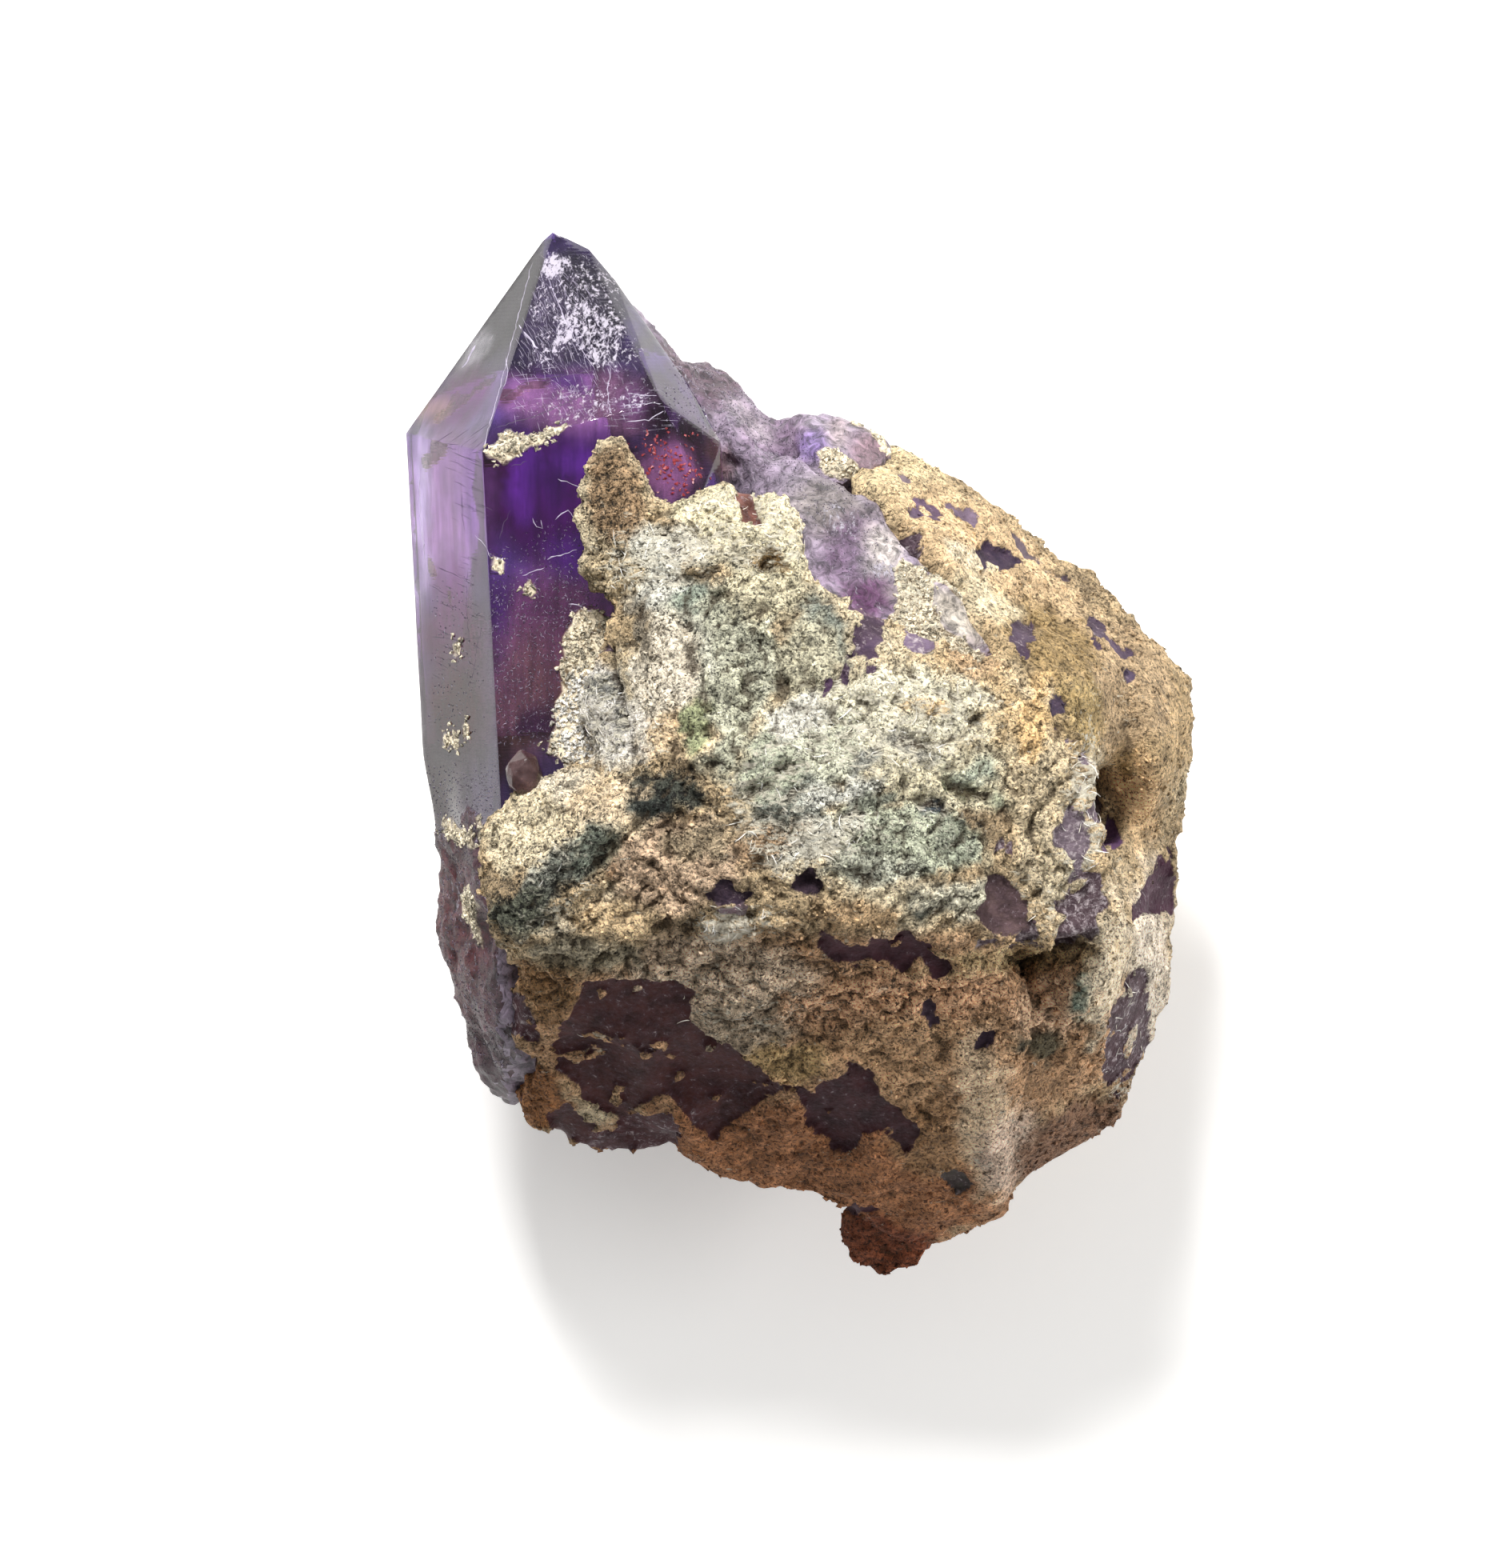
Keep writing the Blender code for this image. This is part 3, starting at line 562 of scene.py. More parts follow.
# The crust's colours, painted in this order: ellipse, colour, softness of its edge in mm
crustColours = [
    (1060, 1290, 430, 130, 0, "#c99f78", 1.2),  # the slope below the ledge, darker and redder towards the bottom: its own tan with painted shade and a painted red bounce light
    (1010, 1470, 280, 90, -6, "#b27c56", 1.0),
    (1100, 1560, 70, 60, 0, "#854b30", 0.8),
    (1170, 1420, 60, 60, 0, "#b58d66", 0.8),
    (900, 1225, 130, 60, -8, "#e9ceb0", 0.9),  # green-grey under the ledge
    (930, 1290, 80, 50, 20, "#b7a38a", 0.8),
    (985, 1325, 52, 26, 0, "#d3b27f", 0.5),
    (1120, 1250, 140, 40, 6, "#f3c095", 0.7),
    (1130, 1320, 90, 60, 0, "#ddb287", 1.0),
    (1232, 1400, 34, 130, 5, "#f6d7b1", 0.8),  # the rib
    (1262, 1440, 40, 60, 0, "#eed1b9", 0.9),
    (1340, 1430, 90, 60, 20, "#8f6c54", 1.0),
    (1316, 1262, 46, 56, -20, "#f8cfa9", 0.8),  # the stained hollow
    (1300, 1305, 40, 20, 0, "#6e6550", 0.5),
    (1352, 1240, 16, 46, -12, "#6f8577", 0.6),
    (1385, 1200, 26, 90, -8, "#feebcb", 0.8),
    (1440, 1210, 30, 120, 0, "#f9e9d3", 0.9),
    (1455, 900, 55, 95, 0, "#d4b68a", 0.8),  # the right lobe
    (1418, 985, 34, 66, 10, "#f9d2a0", 0.9),
    (1405, 900, 24, 60, 0, "#b8965f", 0.8),
    (1120, 600, 120, 46, -32, "#f0d7ab", 0.9),  # the orange-tan slab
    (1240, 710, 150, 66, -40, "#e5c59a", 0.9),
    (1210, 700, 30, 14, -30, "#f4e3c2", 0.5),
    (1390, 850, 90, 100, -50, "#c6aa85", 1.0),
    (1310, 800, 70, 60, -20, "#a58b60", 1.0),
    (1225, 745, 50, 20, -35, "#ecdab6", 0.6),
    (1345, 900, 46, 50, 0, "#c4a976", 0.9),
    (1200, 850, 70, 40, -10, "#d4b990", 0.7),
    (1240, 905, 50, 60, -10, "#dcbf92", 0.8),
    (1100, 900, 140, 62, 8, "#f4eccf", 0.9),  # the white crust of the boss
    (1180, 970, 110, 46, 0, "#e3d8b8", 0.8),
    (1010, 940, 70, 60, 0, "#deddc4", 0.8),
    (1130, 1045, 100, 44, -10, "#c9ccb2", 0.5),
    (1130, 930, 30, 14, -20, "#8d8a80", 0.4),
    (1195, 985, 26, 10, -25, "#6c6a50", 0.3),
    (1220, 965, 36, 16, 0, "#b6bba6", 0.4),
    (1255, 1000, 26, 18, 0, "#a5aa90", 0.4),
    (1168, 1008, 14, 9, 0, "#3c444a", 0.25),
    (1085, 1085, 60, 26, 0, "#c6c6b2", 0.6),
    (1130, 1130, 70, 26, 0, "#e3d3b1", 0.6),
    (1160, 1135, 26, 16, 0, "#4d5148", 0.3),
    (1200, 1120, 60, 24, 0, "#cfc9b2", 0.5),
    (1290, 975, 46, 60, -10, "#dcc8a4", 0.6),
    (1310, 1060, 40, 50, 0, "#e0cdaa", 0.7),
    (985, 1010, 52, 40, 30, "#8d9084", 0.6),
    (960, 960, 40, 46, 0, "#b4b7a0", 0.6),
    (1010, 1050, 60, 22, 20, "#e2dfd0", 0.5),
    (930, 1060, 60, 26, 20, "#bb9c7a", 0.5),
    (1060, 1145, 60, 20, 0, "#c1a27b", 0.5),
    (1250, 1195, 110, 18, 4, "#e2c596", 0.6),
    (880, 800, 60, 88, 24, "#dad7c2", 0.6),  # the green upper rock
    (862, 745, 34, 26, 0, "#9ea696", 0.4),
    (935, 840, 46, 60, 0, "#c1bfa9", 0.6),
    (905, 900, 36, 80, -12, "#c6c4ac", 0.5),
    (925, 770, 44, 50, 40, "#c2c0a9", 0.6),
    (1030, 790, 24, 50, 30, "#8f958a", 0.5),
    (1010, 830, 40, 60, 0, "#cac3a8", 0.8),
    (840, 680, 80, 26, 6, "#d9d2c0", 0.6),  # white frosting above it
    (810, 720, 46, 50, 0, "#d9d6c8", 0.6),
    (930, 650, 70, 50, -20, "#ebdfbc", 0.7),  # the fibrous lump
    (960, 720, 50, 60, -30, "#e2d7b6", 0.7),
    (895, 645, 60, 18, 0, "#f0e4c0", 0.5),
    (962, 705, 26, 12, -10, "#84683f", 0.35),
    (968, 625, 20, 26, -20, "#a88a5a", 0.4),
    (768, 620, 36, 68, 4, "#a68a6a", 0.5),  # the crust's tongue on the prism
    (765, 720, 44, 36, 0, "#c9b592", 0.6),
    (830, 850, 44, 84, -8, "#fbeed6", 0.5),  # the tan-pink patch
    (850, 920, 46, 30, 0, "#f0d4ac", 0.5),
    (752, 890, 46, 80, 26, "#dcd6cc", 0.6),  # grey and white, between the prism and the nose
    (775, 870, 8, 60, 10, "#6d6b66", 0.25),
    (700, 985, 50, 24, 20, "#ecdfc6", 0.6),
    (775, 1000, 60, 30, 0, "#ecd5b2", 0.6),
    (870, 905, 18, 36, -10, "#a8ac84", 0.3),  # translucent olive
    (1000, 895, 40, 24, 20, "#ece8da", 0.4),
    (1050, 990, 60, 16, 10, "#e6e4d6", 0.3),
    (1105, 1000, 30, 12, 0, "#a4a794", 0.3),
    (1190, 1050, 26, 30, 0, "#a9ad97", 0.3),
    (1080, 950, 22, 10, 30, "#9c9b90", 0.25),
    (1150, 880, 30, 12, -10, "#d6b98c", 0.3),
    (1210, 830, 40, 16, -20, "#c6a883", 0.4),
    (1290, 900, 16, 60, -10, "#e8c48e", 0.4),
    (900, 700, 36, 12, 10, "#c9bfa4", 0.3),
    (850, 700, 20, 8, 0, "#f6f1e4", 0.25),
    (805, 790, 10, 40, 10, "#8d8270", 0.3),
    (755, 862, 22, 18, 0, "#7d7c76", 0.3),
    (725, 1145, 40, 10, 30, "#efe0c4", 0.3),
    (790, 1075, 40, 14, 30, "#a67c52", 0.4),
    (840, 985, 50, 20, -14, "#474940", 0.4),  # dark speckled rock
    (820, 1010, 34, 16, 0, "#3f443e", 0.35),
    (655, 1035, 56, 52, 20, "#ecdcba", 0.6),  # the nose
    (705, 1080, 70, 14, 41, "#e4e3d2", 0.4),
    (690, 1105, 80, 18, 41, "#787a6e", 0.45),
    (655, 1140, 40, 26, 20, "#6a6c5c", 0.45),
    (745, 1060, 34, 26, 30, "#7d8374", 0.5),
    (735, 1190, 80, 24, -8, "#a39880", 0.6),
    (850, 1080, 80, 60, 10, "#d1b496", 0.7),
    (880, 1050, 60, 24, 10, "#ab987c", 0.6),
    (770, 1150, 50, 24, -10, "#dcc096", 0.5),
    (680, 1235, 56, 34, -20, "#b08a62", 0.7),
    (660, 1370, 60, 46, -30, "#a4724a", 0.5),
]

crustFrost = [  # white fibrous frosting: ellipse, density
    (1110, 905, 150, 70, 8, 0.5),
    (1020, 1055, 70, 26, 20, 0.85),
    (1140, 1030, 100, 40, 0, 0.35),
    (830, 700, 90, 46, 4, 0.6),
    (905, 1160, 36, 26, 0, 0.9),
    (1050, 1180, 90, 20, 10, 0.3),
    (700, 1130, 60, 14, 41, 0.6),
    (940, 660, 90, 60, -20, 0.5),
    (750, 900, 46, 90, 26, 0.55),
    (800, 900, 40, 100, 10, 0.4),
    (1356, 1000, 30, 120, -6, 0.7),
    (1300, 1130, 90, 50, 0, 0.35),
    (700, 1080, 60, 20, 41, 0.45),
    (960, 1000, 60, 90, 0, 0.5),
    (930, 1150, 60, 26, 0, 0.55),
    (1120, 770, 90, 60, 0, 0.5),
    (900, 1250, 140, 60, 0, 0.35),
    (610, 1230, 40, 90, 0, 0.5),
    (1250, 1420, 40, 100, 0, 0.3),
    (1410, 1300, 40, 100, 0, 0.5),
]

crustSpecks = [  # dark specks: ellipse, density
    (768, 640, 44, 100, 0, 0.75),
    (890, 800, 100, 120, 20, 0.58),
    (840, 985, 70, 36, -10, 0.9),
    (690, 1095, 120, 50, 41, 0.85),
    (1100, 1040, 160, 70, 0, 0.62),
    (1000, 1230, 160, 60, 0, 0.62),
    (1120, 1260, 160, 60, 0, 0.6),
    (640, 1030, 60, 50, 0, 0.45),
    (1200, 700, 260, 70, -42, 0.16),
    (1450, 900, 60, 100, 0, 0.1),
    (1010, 1480, 300, 80, -4, 0.16),
]

smoothCrust = [  # where the crust is a smooth clay: ellipse, how rugged it is
    (1200, 690, 280, 76, -40, 0.22),
    (1430, 920, 100, 150, 0, 0.18),
    (1440, 1200, 60, 200, 0, 0.25),
    (1010, 1480, 300, 90, -4, 0.3),
    (1280, 1420, 100, 120, 0, 0.2),
    (1120, 1330, 120, 60, 0, 0.5),
    (830, 850, 44, 84, -8, 0.5),
    (1392, 1240, 24, 90, 0, 0.1),
    (800, 1350, 160, 120, -8, 0.4),
]

crustRelief = [  # dents and ridges in the crust: ellipse, height in mm
    (962, 706, 20, 12, -20, -0.9),
    (946, 640, 12, 20, -10, -0.6),
    (900, 664, 60, 12, -8, 0.35),
    (968, 640, 16, 40, -15, 0.4),
    (880, 640, 50, 10, 0, 0.3),
    (945, 740, 12, 40, -40, 0.3),
    (840, 800, 12, 70, 10, 0.3),
    (878, 860, 10, 70, 10, -0.4),
    (775, 880, 8, 60, 12, -0.4),
    (960, 980, 40, 12, 30, -0.4),
    (1195, 988, 30, 9, -25, -0.6),
    (1140, 925, 30, 10, -10, -0.35),
    (1060, 870, 60, 16, 10, 0.3),
    (1100, 960, 70, 12, 5, 0.3),
    (1260, 920, 20, 40, 0, 0.25),
    (1292, 962, 16, 60, -10, 0.25),
    (1040, 1080, 50, 12, 25, 0.3),
    (1010, 1100, 14, 10, 0, -0.3),
    (910, 1150, 40, 12, 10, -0.35),
    (770, 1060, 14, 50, -40, -0.4),
    (690, 1010, 30, 14, 20, 0.25),
    (1340, 1160, 50, 8, 10, 0.3),
    (1120, 1225, 90, 8, 4, 0.25),
    (1285, 775, 26, 8, 0, 0.35),
    (1220, 898, 14, 8, 0, -0.4),
    (978, 859, 12, 14, 0, -0.4),
    (992, 987, 14, 10, 20, -0.4),
    (1070, 1015, 26, 8, 10, -0.4),
    (935, 859, 8, 26, 0, -0.4),
    (772, 699, 12, 8, 0, -0.4),
    (858, 823, 8, 24, 10, -0.4),
    (765, 844, 8, 30, 10, -0.4),
    (738, 813, 10, 12, 0, -0.4),
    (880, 720, 30, 7, 10, -0.4),
    (1150, 1000, 20, 7, 0, -0.35),
    (1290, 1040, 8, 30, 0, -0.35),
    (720, 1035, 20, 7, 35, -0.35),
]


def buildMatrixMesh():
    bm = mergedCopy("matrix_rock")
    obj = addObject("matrixRock", meshFrom(bm, "matrixRock"))
    remesh = obj.modifiers.new("fine skin", "REMESH")
    remesh.mode = "VOXEL"
    remesh.voxel_size = matrixForm["voxel"]
    graph = bpy.context.evaluated_depsgraph_get()
    mesh = bpy.data.meshes.new_from_object(obj.evaluated_get(graph))
    obj.modifiers.clear()
    obj.data = mesh
    mesh.name = "matrixRock"
    return obj, mesh


def neighbourMean(mesh, places, rounds):  # each point's place, averaged over its neighbours
    ends = np.zeros(len(mesh.edges) * 2, dtype=np.int64)
    mesh.edges.foreach_get("vertices", ends)
    first, second = ends.reshape(-1, 2).T
    count = np.bincount(np.concatenate([first, second]), minlength=len(places)).astype(float)
    for attempt in range(rounds):
        total = np.zeros_like(places)
        for axis in range(3):
            total[:, axis] = np.bincount(first, places[second, axis], len(places))
            total[:, axis] += np.bincount(second, places[first, axis], len(places))
        places = total / np.maximum(count, 1.0)[:, None]
    return places


def touchCrystal(places, normals):  # draws the walls of the socket onto the crystal
    moved = places.copy()
    for i, place in enumerate(places.tolist()):
        nearest, normal, _, distance = crystalTree.find_nearest(Vector(place), 2.0 * mm)
        if nearest is None:
            continue
        towards = (nearest - Vector(place)).normalized()
        facing = towards.dot(Vector(normals[i]))
        if (Vector(place) - nearest).dot(normal) < 0:
            facing, distance = 1.0, 0.0
        share = float(smoothStep(-0.1, 0.45, np.array(facing)))
        share *= 1.0 - float(smoothStep(0.8, 1.3, np.array(distance / matrixForm["touchReach"])))
        target = nearest - normal * matrixForm["touchDepth"]
        moved[i] += (np.array(target) - moved[i]) * share
    return moved


matrix, matrixMesh = buildMatrixMesh()
matrixTree = surfaceTree(matrixMesh)
print("  triangles:", 2 * len(matrixMesh.polygons))


def shapeMatrix(mesh):
    places, normals = vertexArrays(mesh)
    edgeNoise = 0.24 * noiseAt(places, 0.7 * mm, 3.0, 3)
    seen = smoothStep(0.0, 0.3, normals[:, 2]) * smoothStep(3.0, 7.0, places[:, 2] / mm)
    window = np.full(len(places), -farthest)
    tint = plain("#4e4048", len(places))
    haze = np.full(len(places), 0.25)
    for outline, hexColour, haziness in quartzWindows:
        depth = outlineDepth(places, outline)
        here = depth > window
        tint[here] = linear(hexColour)
        haze[here] = haziness
        window = np.maximum(window, depth)
    backWindow = (noiseAt(places, 3.4 * mm, 21.0, 3) - 0.26) * 2.4
    window = np.where(seen > 0.5, window, np.maximum(window, backWindow)) + edgeNoise
    # islands of crust on the quartz, more of them where it is hazy
    islands = noiseAt(places, matrixForm["islandSize"], 17.0, 4)
    window = np.minimum(window, (0.62 - 0.95 * np.minimum(haze, 0.45) - islands) * 1.6)
    crust = 1.0 - smoothStep(-0.12, 0.12, window)

    jitter = 0.3 * noiseAt(places, 1.3 * mm, 8.0, 3)
    rugged = np.full(len(places), 0.9)
    for *ellipse, ruggedness in smoothCrust:
        rugged += (ruggedness - rugged) * inEllipse(places, ellipse, matrixTree, 0.8, jitter)
    lift = (0.2 + 0.8 * crust) * noiseAt(places, matrixForm["lumps"][0], 1.0, 3) * matrixForm["lumps"][1]
    # folded noise, so that round knobs meet in narrow clefts
    knobs = np.abs(noiseAt(places, matrixForm["knobs"][0], 2.0, 2)) - 0.25
    grain = np.abs(noiseAt(places, matrixForm["grain"][0], 6.0, 1)) - 0.25
    lift += (0.05 + 0.95 * crust * rugged) * knobs * matrixForm["knobs"][1]
    lift += crust * rugged * grain * matrixForm["grain"][1]
    lift += (crust - 0.6) * matrixForm["crustThickness"]
    for *ellipse, height in crustRelief:
        lift += height * mm * smoothStep(-0.25, 0.35, ellipseDepth(places, ellipse, matrixTree) + jitter)
    foot = smoothStep(0.0, 1.0, places[:, 2] / matrixForm["footHeight"])
    relief = places + normals * (lift * foot)[:, None]
    relief = touchCrystal(relief, normals)
    relief[:, 2] = np.maximum(relief[:, 2], 0.0)
    setPlaces(mesh, relief)

    finalPlaces, finalNormals = vertexArrays(mesh)
    average = neighbourMean(mesh, finalPlaces, 6)
    hollow = np.einsum("ij,ij->i", average - finalPlaces, finalNormals) / (0.1 * mm)
    storeValues(mesh, "hollow", np.clip(hollow, -1.0, 1.0))
    storeValues(mesh, "window", np.clip(window, -farthest, farthest))
    storeValues(mesh, "quartzTint", tint)
    storeValues(mesh, "haze", haze)
    storeValues(mesh, "rugged", rugged)
    clearOfFloor = smoothStep(0.2, 0.6, finalPlaces[:, 2] / mm)
    storeValues(mesh, "grainShare", crust * (0.25 + 0.75 * rugged) * (0.35 + 0.65 * seen) * clearOfFloor)


def dressMatrix(mesh):
    places, normals = vertexArrays(mesh)
    jitter = 0.42 * noiseAt(places, 1.1 * mm, 8.0, 4) + 0.2 * noiseAt(places, 0.45 * mm, 18.0, 1)
    broad = noiseAt(places, 5.0 * mm, 11.0, 2)
    colours = plain("#c9b08a", len(places))
    paint(colours, "#dccbaa", smoothStep(0.0, 0.5, broad))
    paint(colours, "#9c8769", smoothStep(0.15, 0.6, -broad))
    for *ellipse, hexColour, soft in crustColours:
        paint(colours, hexColour, inEllipse(places, ellipse, matrixTree, 0.5 * soft, jitter))
    frost = 0.06 + 0.14 * smoothStep(0.1, 0.5, noiseAt(places, 3.0 * mm, 14.0, 2))
    for *ellipse, density in crustFrost:
        frost = np.maximum(frost, density * inEllipse(places, ellipse, matrixTree, 0.8, jitter))
    specks = np.full(len(places), 0.34)
    for *ellipse, density in crustSpecks:
        specks += (density - specks) * inEllipse(places, ellipse, matrixTree, 0.8, jitter)
    storeValues(mesh, "ground", colours)
    storeValues(mesh, "frost", frost)
    storeValues(mesh, "specks", specks)
    storeValues(mesh, "fibreShare", smoothStep(0.25, 0.9, frost) * (normals[:, 2] > 0))


shapeMatrix(matrixMesh)
dressMatrix(matrixMesh)
print("stage 3: the materials")


def newMaterial(name):  # an empty material, and addNode for its tree
    made = bpy.data.materials.new(name)
    made.use_nodes = True
    made.node_tree.nodes.clear()
    return made, partial(addNode, made.node_tree)


# Quartz coloured violet by iron: clear and glassy on its growth faces, milky where it is etched or
# broken. The clear body absorbs light, which makes it deepest where it is thickest.
amethystLook = {
    "ior": 1.544,
    "transmission": (0.82, 0.14),  # clear and broken
    "frostedTransmission": 0.2,
    "frostColour": "#c8c0cd",
    "roughness": (0.05, 0.4),  # clear and broken
    "frostRoughness": 0.45,
    "absorptionColour": "#bc6ad0",
    "absorptionDensity": 90.0,  # per metre: a third of the light is left after about 12 mm
    "growthLineSpacing": 0.16 * mm,
    "crustDark": "#5e4c34",
    "crustPale": "#e6d8bc",
}


def amethystMaterial():
    look = amethystLook
    made, node = newMaterial("etchedAmethystQuartz")
    place = node("ShaderNodeTexCoord", output="Object")
    tint = node("ShaderNodeAttribute", output="Color", attribute_name="tint")
    frost, broken, onCrust = [
        node("ShaderNodeAttribute", output="Fac", attribute_name=name)
        for name in ("frost", "broken", "crusted")
    ]
    alongPrism, downTip = [
        node("ShaderNodeMapping", {"Vector": place, "Rotation": (0, 0, turn), "Scale": (1, stretch, 1)})
        for turn, stretch in ((0.03, 0.1), (0.42, 0.3))
    ]
    clouds, streaks, veins, etch = [
        node("ShaderNodeTexNoise", dict(zip(noiseInputs, values)))
        for values in (
            (place, 0.9 / mm, 4.0, 0.6),
            (alongPrism, 2.2 / mm, 4.0, 0.65),
            (place, 2.0 / mm, 6.0, 0.74, 0.8),
            (downTip, 5.0 / mm, 6.0, 0.76, 0.3),
        )
    ]

    # clouds of colour, streaks along the prism, and dark veins in the broken quartz
    cloudShade, streakShade, veinShade, threshold, mottle = [
        node("ShaderNodeMapRange", values)
        for values in (
            (clouds, 0.3, 0.7, 0.7, 1.3),
            (streaks, 0.35, 0.65, 0.68, 1.36),
            (veins, 0.38, 0.62, 0.32, 1.85),
            (frost, 0.0, 1.0, 0.76, 0.38),
            (veins, 0.4, 0.55, 0.0, 1.0),
        )
    ]
    shade = node("ShaderNodeMix", {0: broken, 2: streakShade, 3: veinShade})
    shade = node("ShaderNodeMath", (shade, cloudShade), operation="MULTIPLY")
    tint = node("ShaderNodeVectorMath", {0: tint, "Scale": shade}, operation="SCALE")

    # etching: fine scratches run down the termination, a little to the right
    above = node("ShaderNodeMath", (etch, threshold), operation="SUBTRACT")
    frosted = node("ShaderNodeMapRange", (above, -0.01, 0.045, 0.0, 0.92))
    tint = node("ShaderNodeMix", {0: frosted, 6: tint, 7: linear(look["frostColour"])}, 2, data_type="RGBA")

    # crust that lies on the quartz
    ragged = node("ShaderNodeMath", (clouds, 0.3, onCrust), operation="MULTIPLY_ADD")
    crusted = node("ShaderNodeMapRange", (ragged, 0.1, 0.2, 0.0, 1.0))
    dark, pale = linear(look["crustDark"]), linear(look["crustPale"])
    earth = node("ShaderNodeMix", {0: mottle, 6: dark, 7: pale}, 2, data_type="RGBA")
    colour = node("ShaderNodeMix", {0: crusted, 6: tint, 7: earth}, 2, data_type="RGBA")
    dull = node("ShaderNodeMath", (frosted, crusted), operation="MAXIMUM")

    clear, rough = [
        node("ShaderNodeMapRange", (broken, 0.0, 1.0, *look[name])) for name in ("transmission", "roughness")
    ]
    clear = node("ShaderNodeMix", {0: frosted, 2: clear, 3: look["frostedTransmission"]})
    clear = node("ShaderNodeMix", {0: crusted, 2: clear, 3: 0.0})
    rough = node("ShaderNodeMix", {0: dull, 2: rough, 3: look["frostRoughness"]})

    # growth lines run across the prism, so they repeat along Y
    waves = {"Vector": place, "Distortion": 2.5, "Detail": 3.0, "Detail Scale": 0.6}
    waves["Scale"] = 0.314 / look["growthLineSpacing"]
    lines = node("ShaderNodeTexWave", waves, 1, bands_direction="Y")
    bump = node("ShaderNodeBump", {"Strength": 0.06, "Distance": 0.02 * mm, "Height": lines})
    veinHeight = node("ShaderNodeMath", (veins, broken), operation="MULTIPLY")
    for strength, distance, height in ((0.8, 0.3 * mm, veinHeight), (0.6, 0.08 * mm, dull)):
        bump = node(
            "ShaderNodeBump", {"Strength": strength, "Distance": distance, "Height": height, "Normal": bump}
        )
    surface = {"Base Color": colour, "Roughness": rough, "IOR": look["ior"], "Transmission Weight": clear}
    shader = node("ShaderNodeBsdfPrincipled", {**surface, "Normal": bump})
    body = {"Color": linear(look["absorptionColour"]), "Density": look["absorptionDensity"]}
    absorb = node("ShaderNodeVolumeAbsorption", body)
    node("ShaderNodeOutputMaterial", {"Surface": shader, "Volume": absorb})
    return made


# Weathered volcanic rock under a crust of iron-stained clay and zeolite: dull, granular and
# speckled, with bare quartz showing through where the crust has flaked off
crustLook = {
    "grainSize": 0.2 * mm,
    "frostColour": "#f8f0da",
    "speckColour": "#23221f",
    # dark brown in the hollows: dirt, and painted shade
    "hollowDirtAndShadeColour": "#4a3a28",
    "quartzFleck": "#c2b6b8",
    "quartzVeil": "#66505a",
    "roughness": (0.88, 0.5),  # of the crust and the bare quartz
    "gloss": (0.3, 0.1),
    "relief": (1.0, 0.28),
}


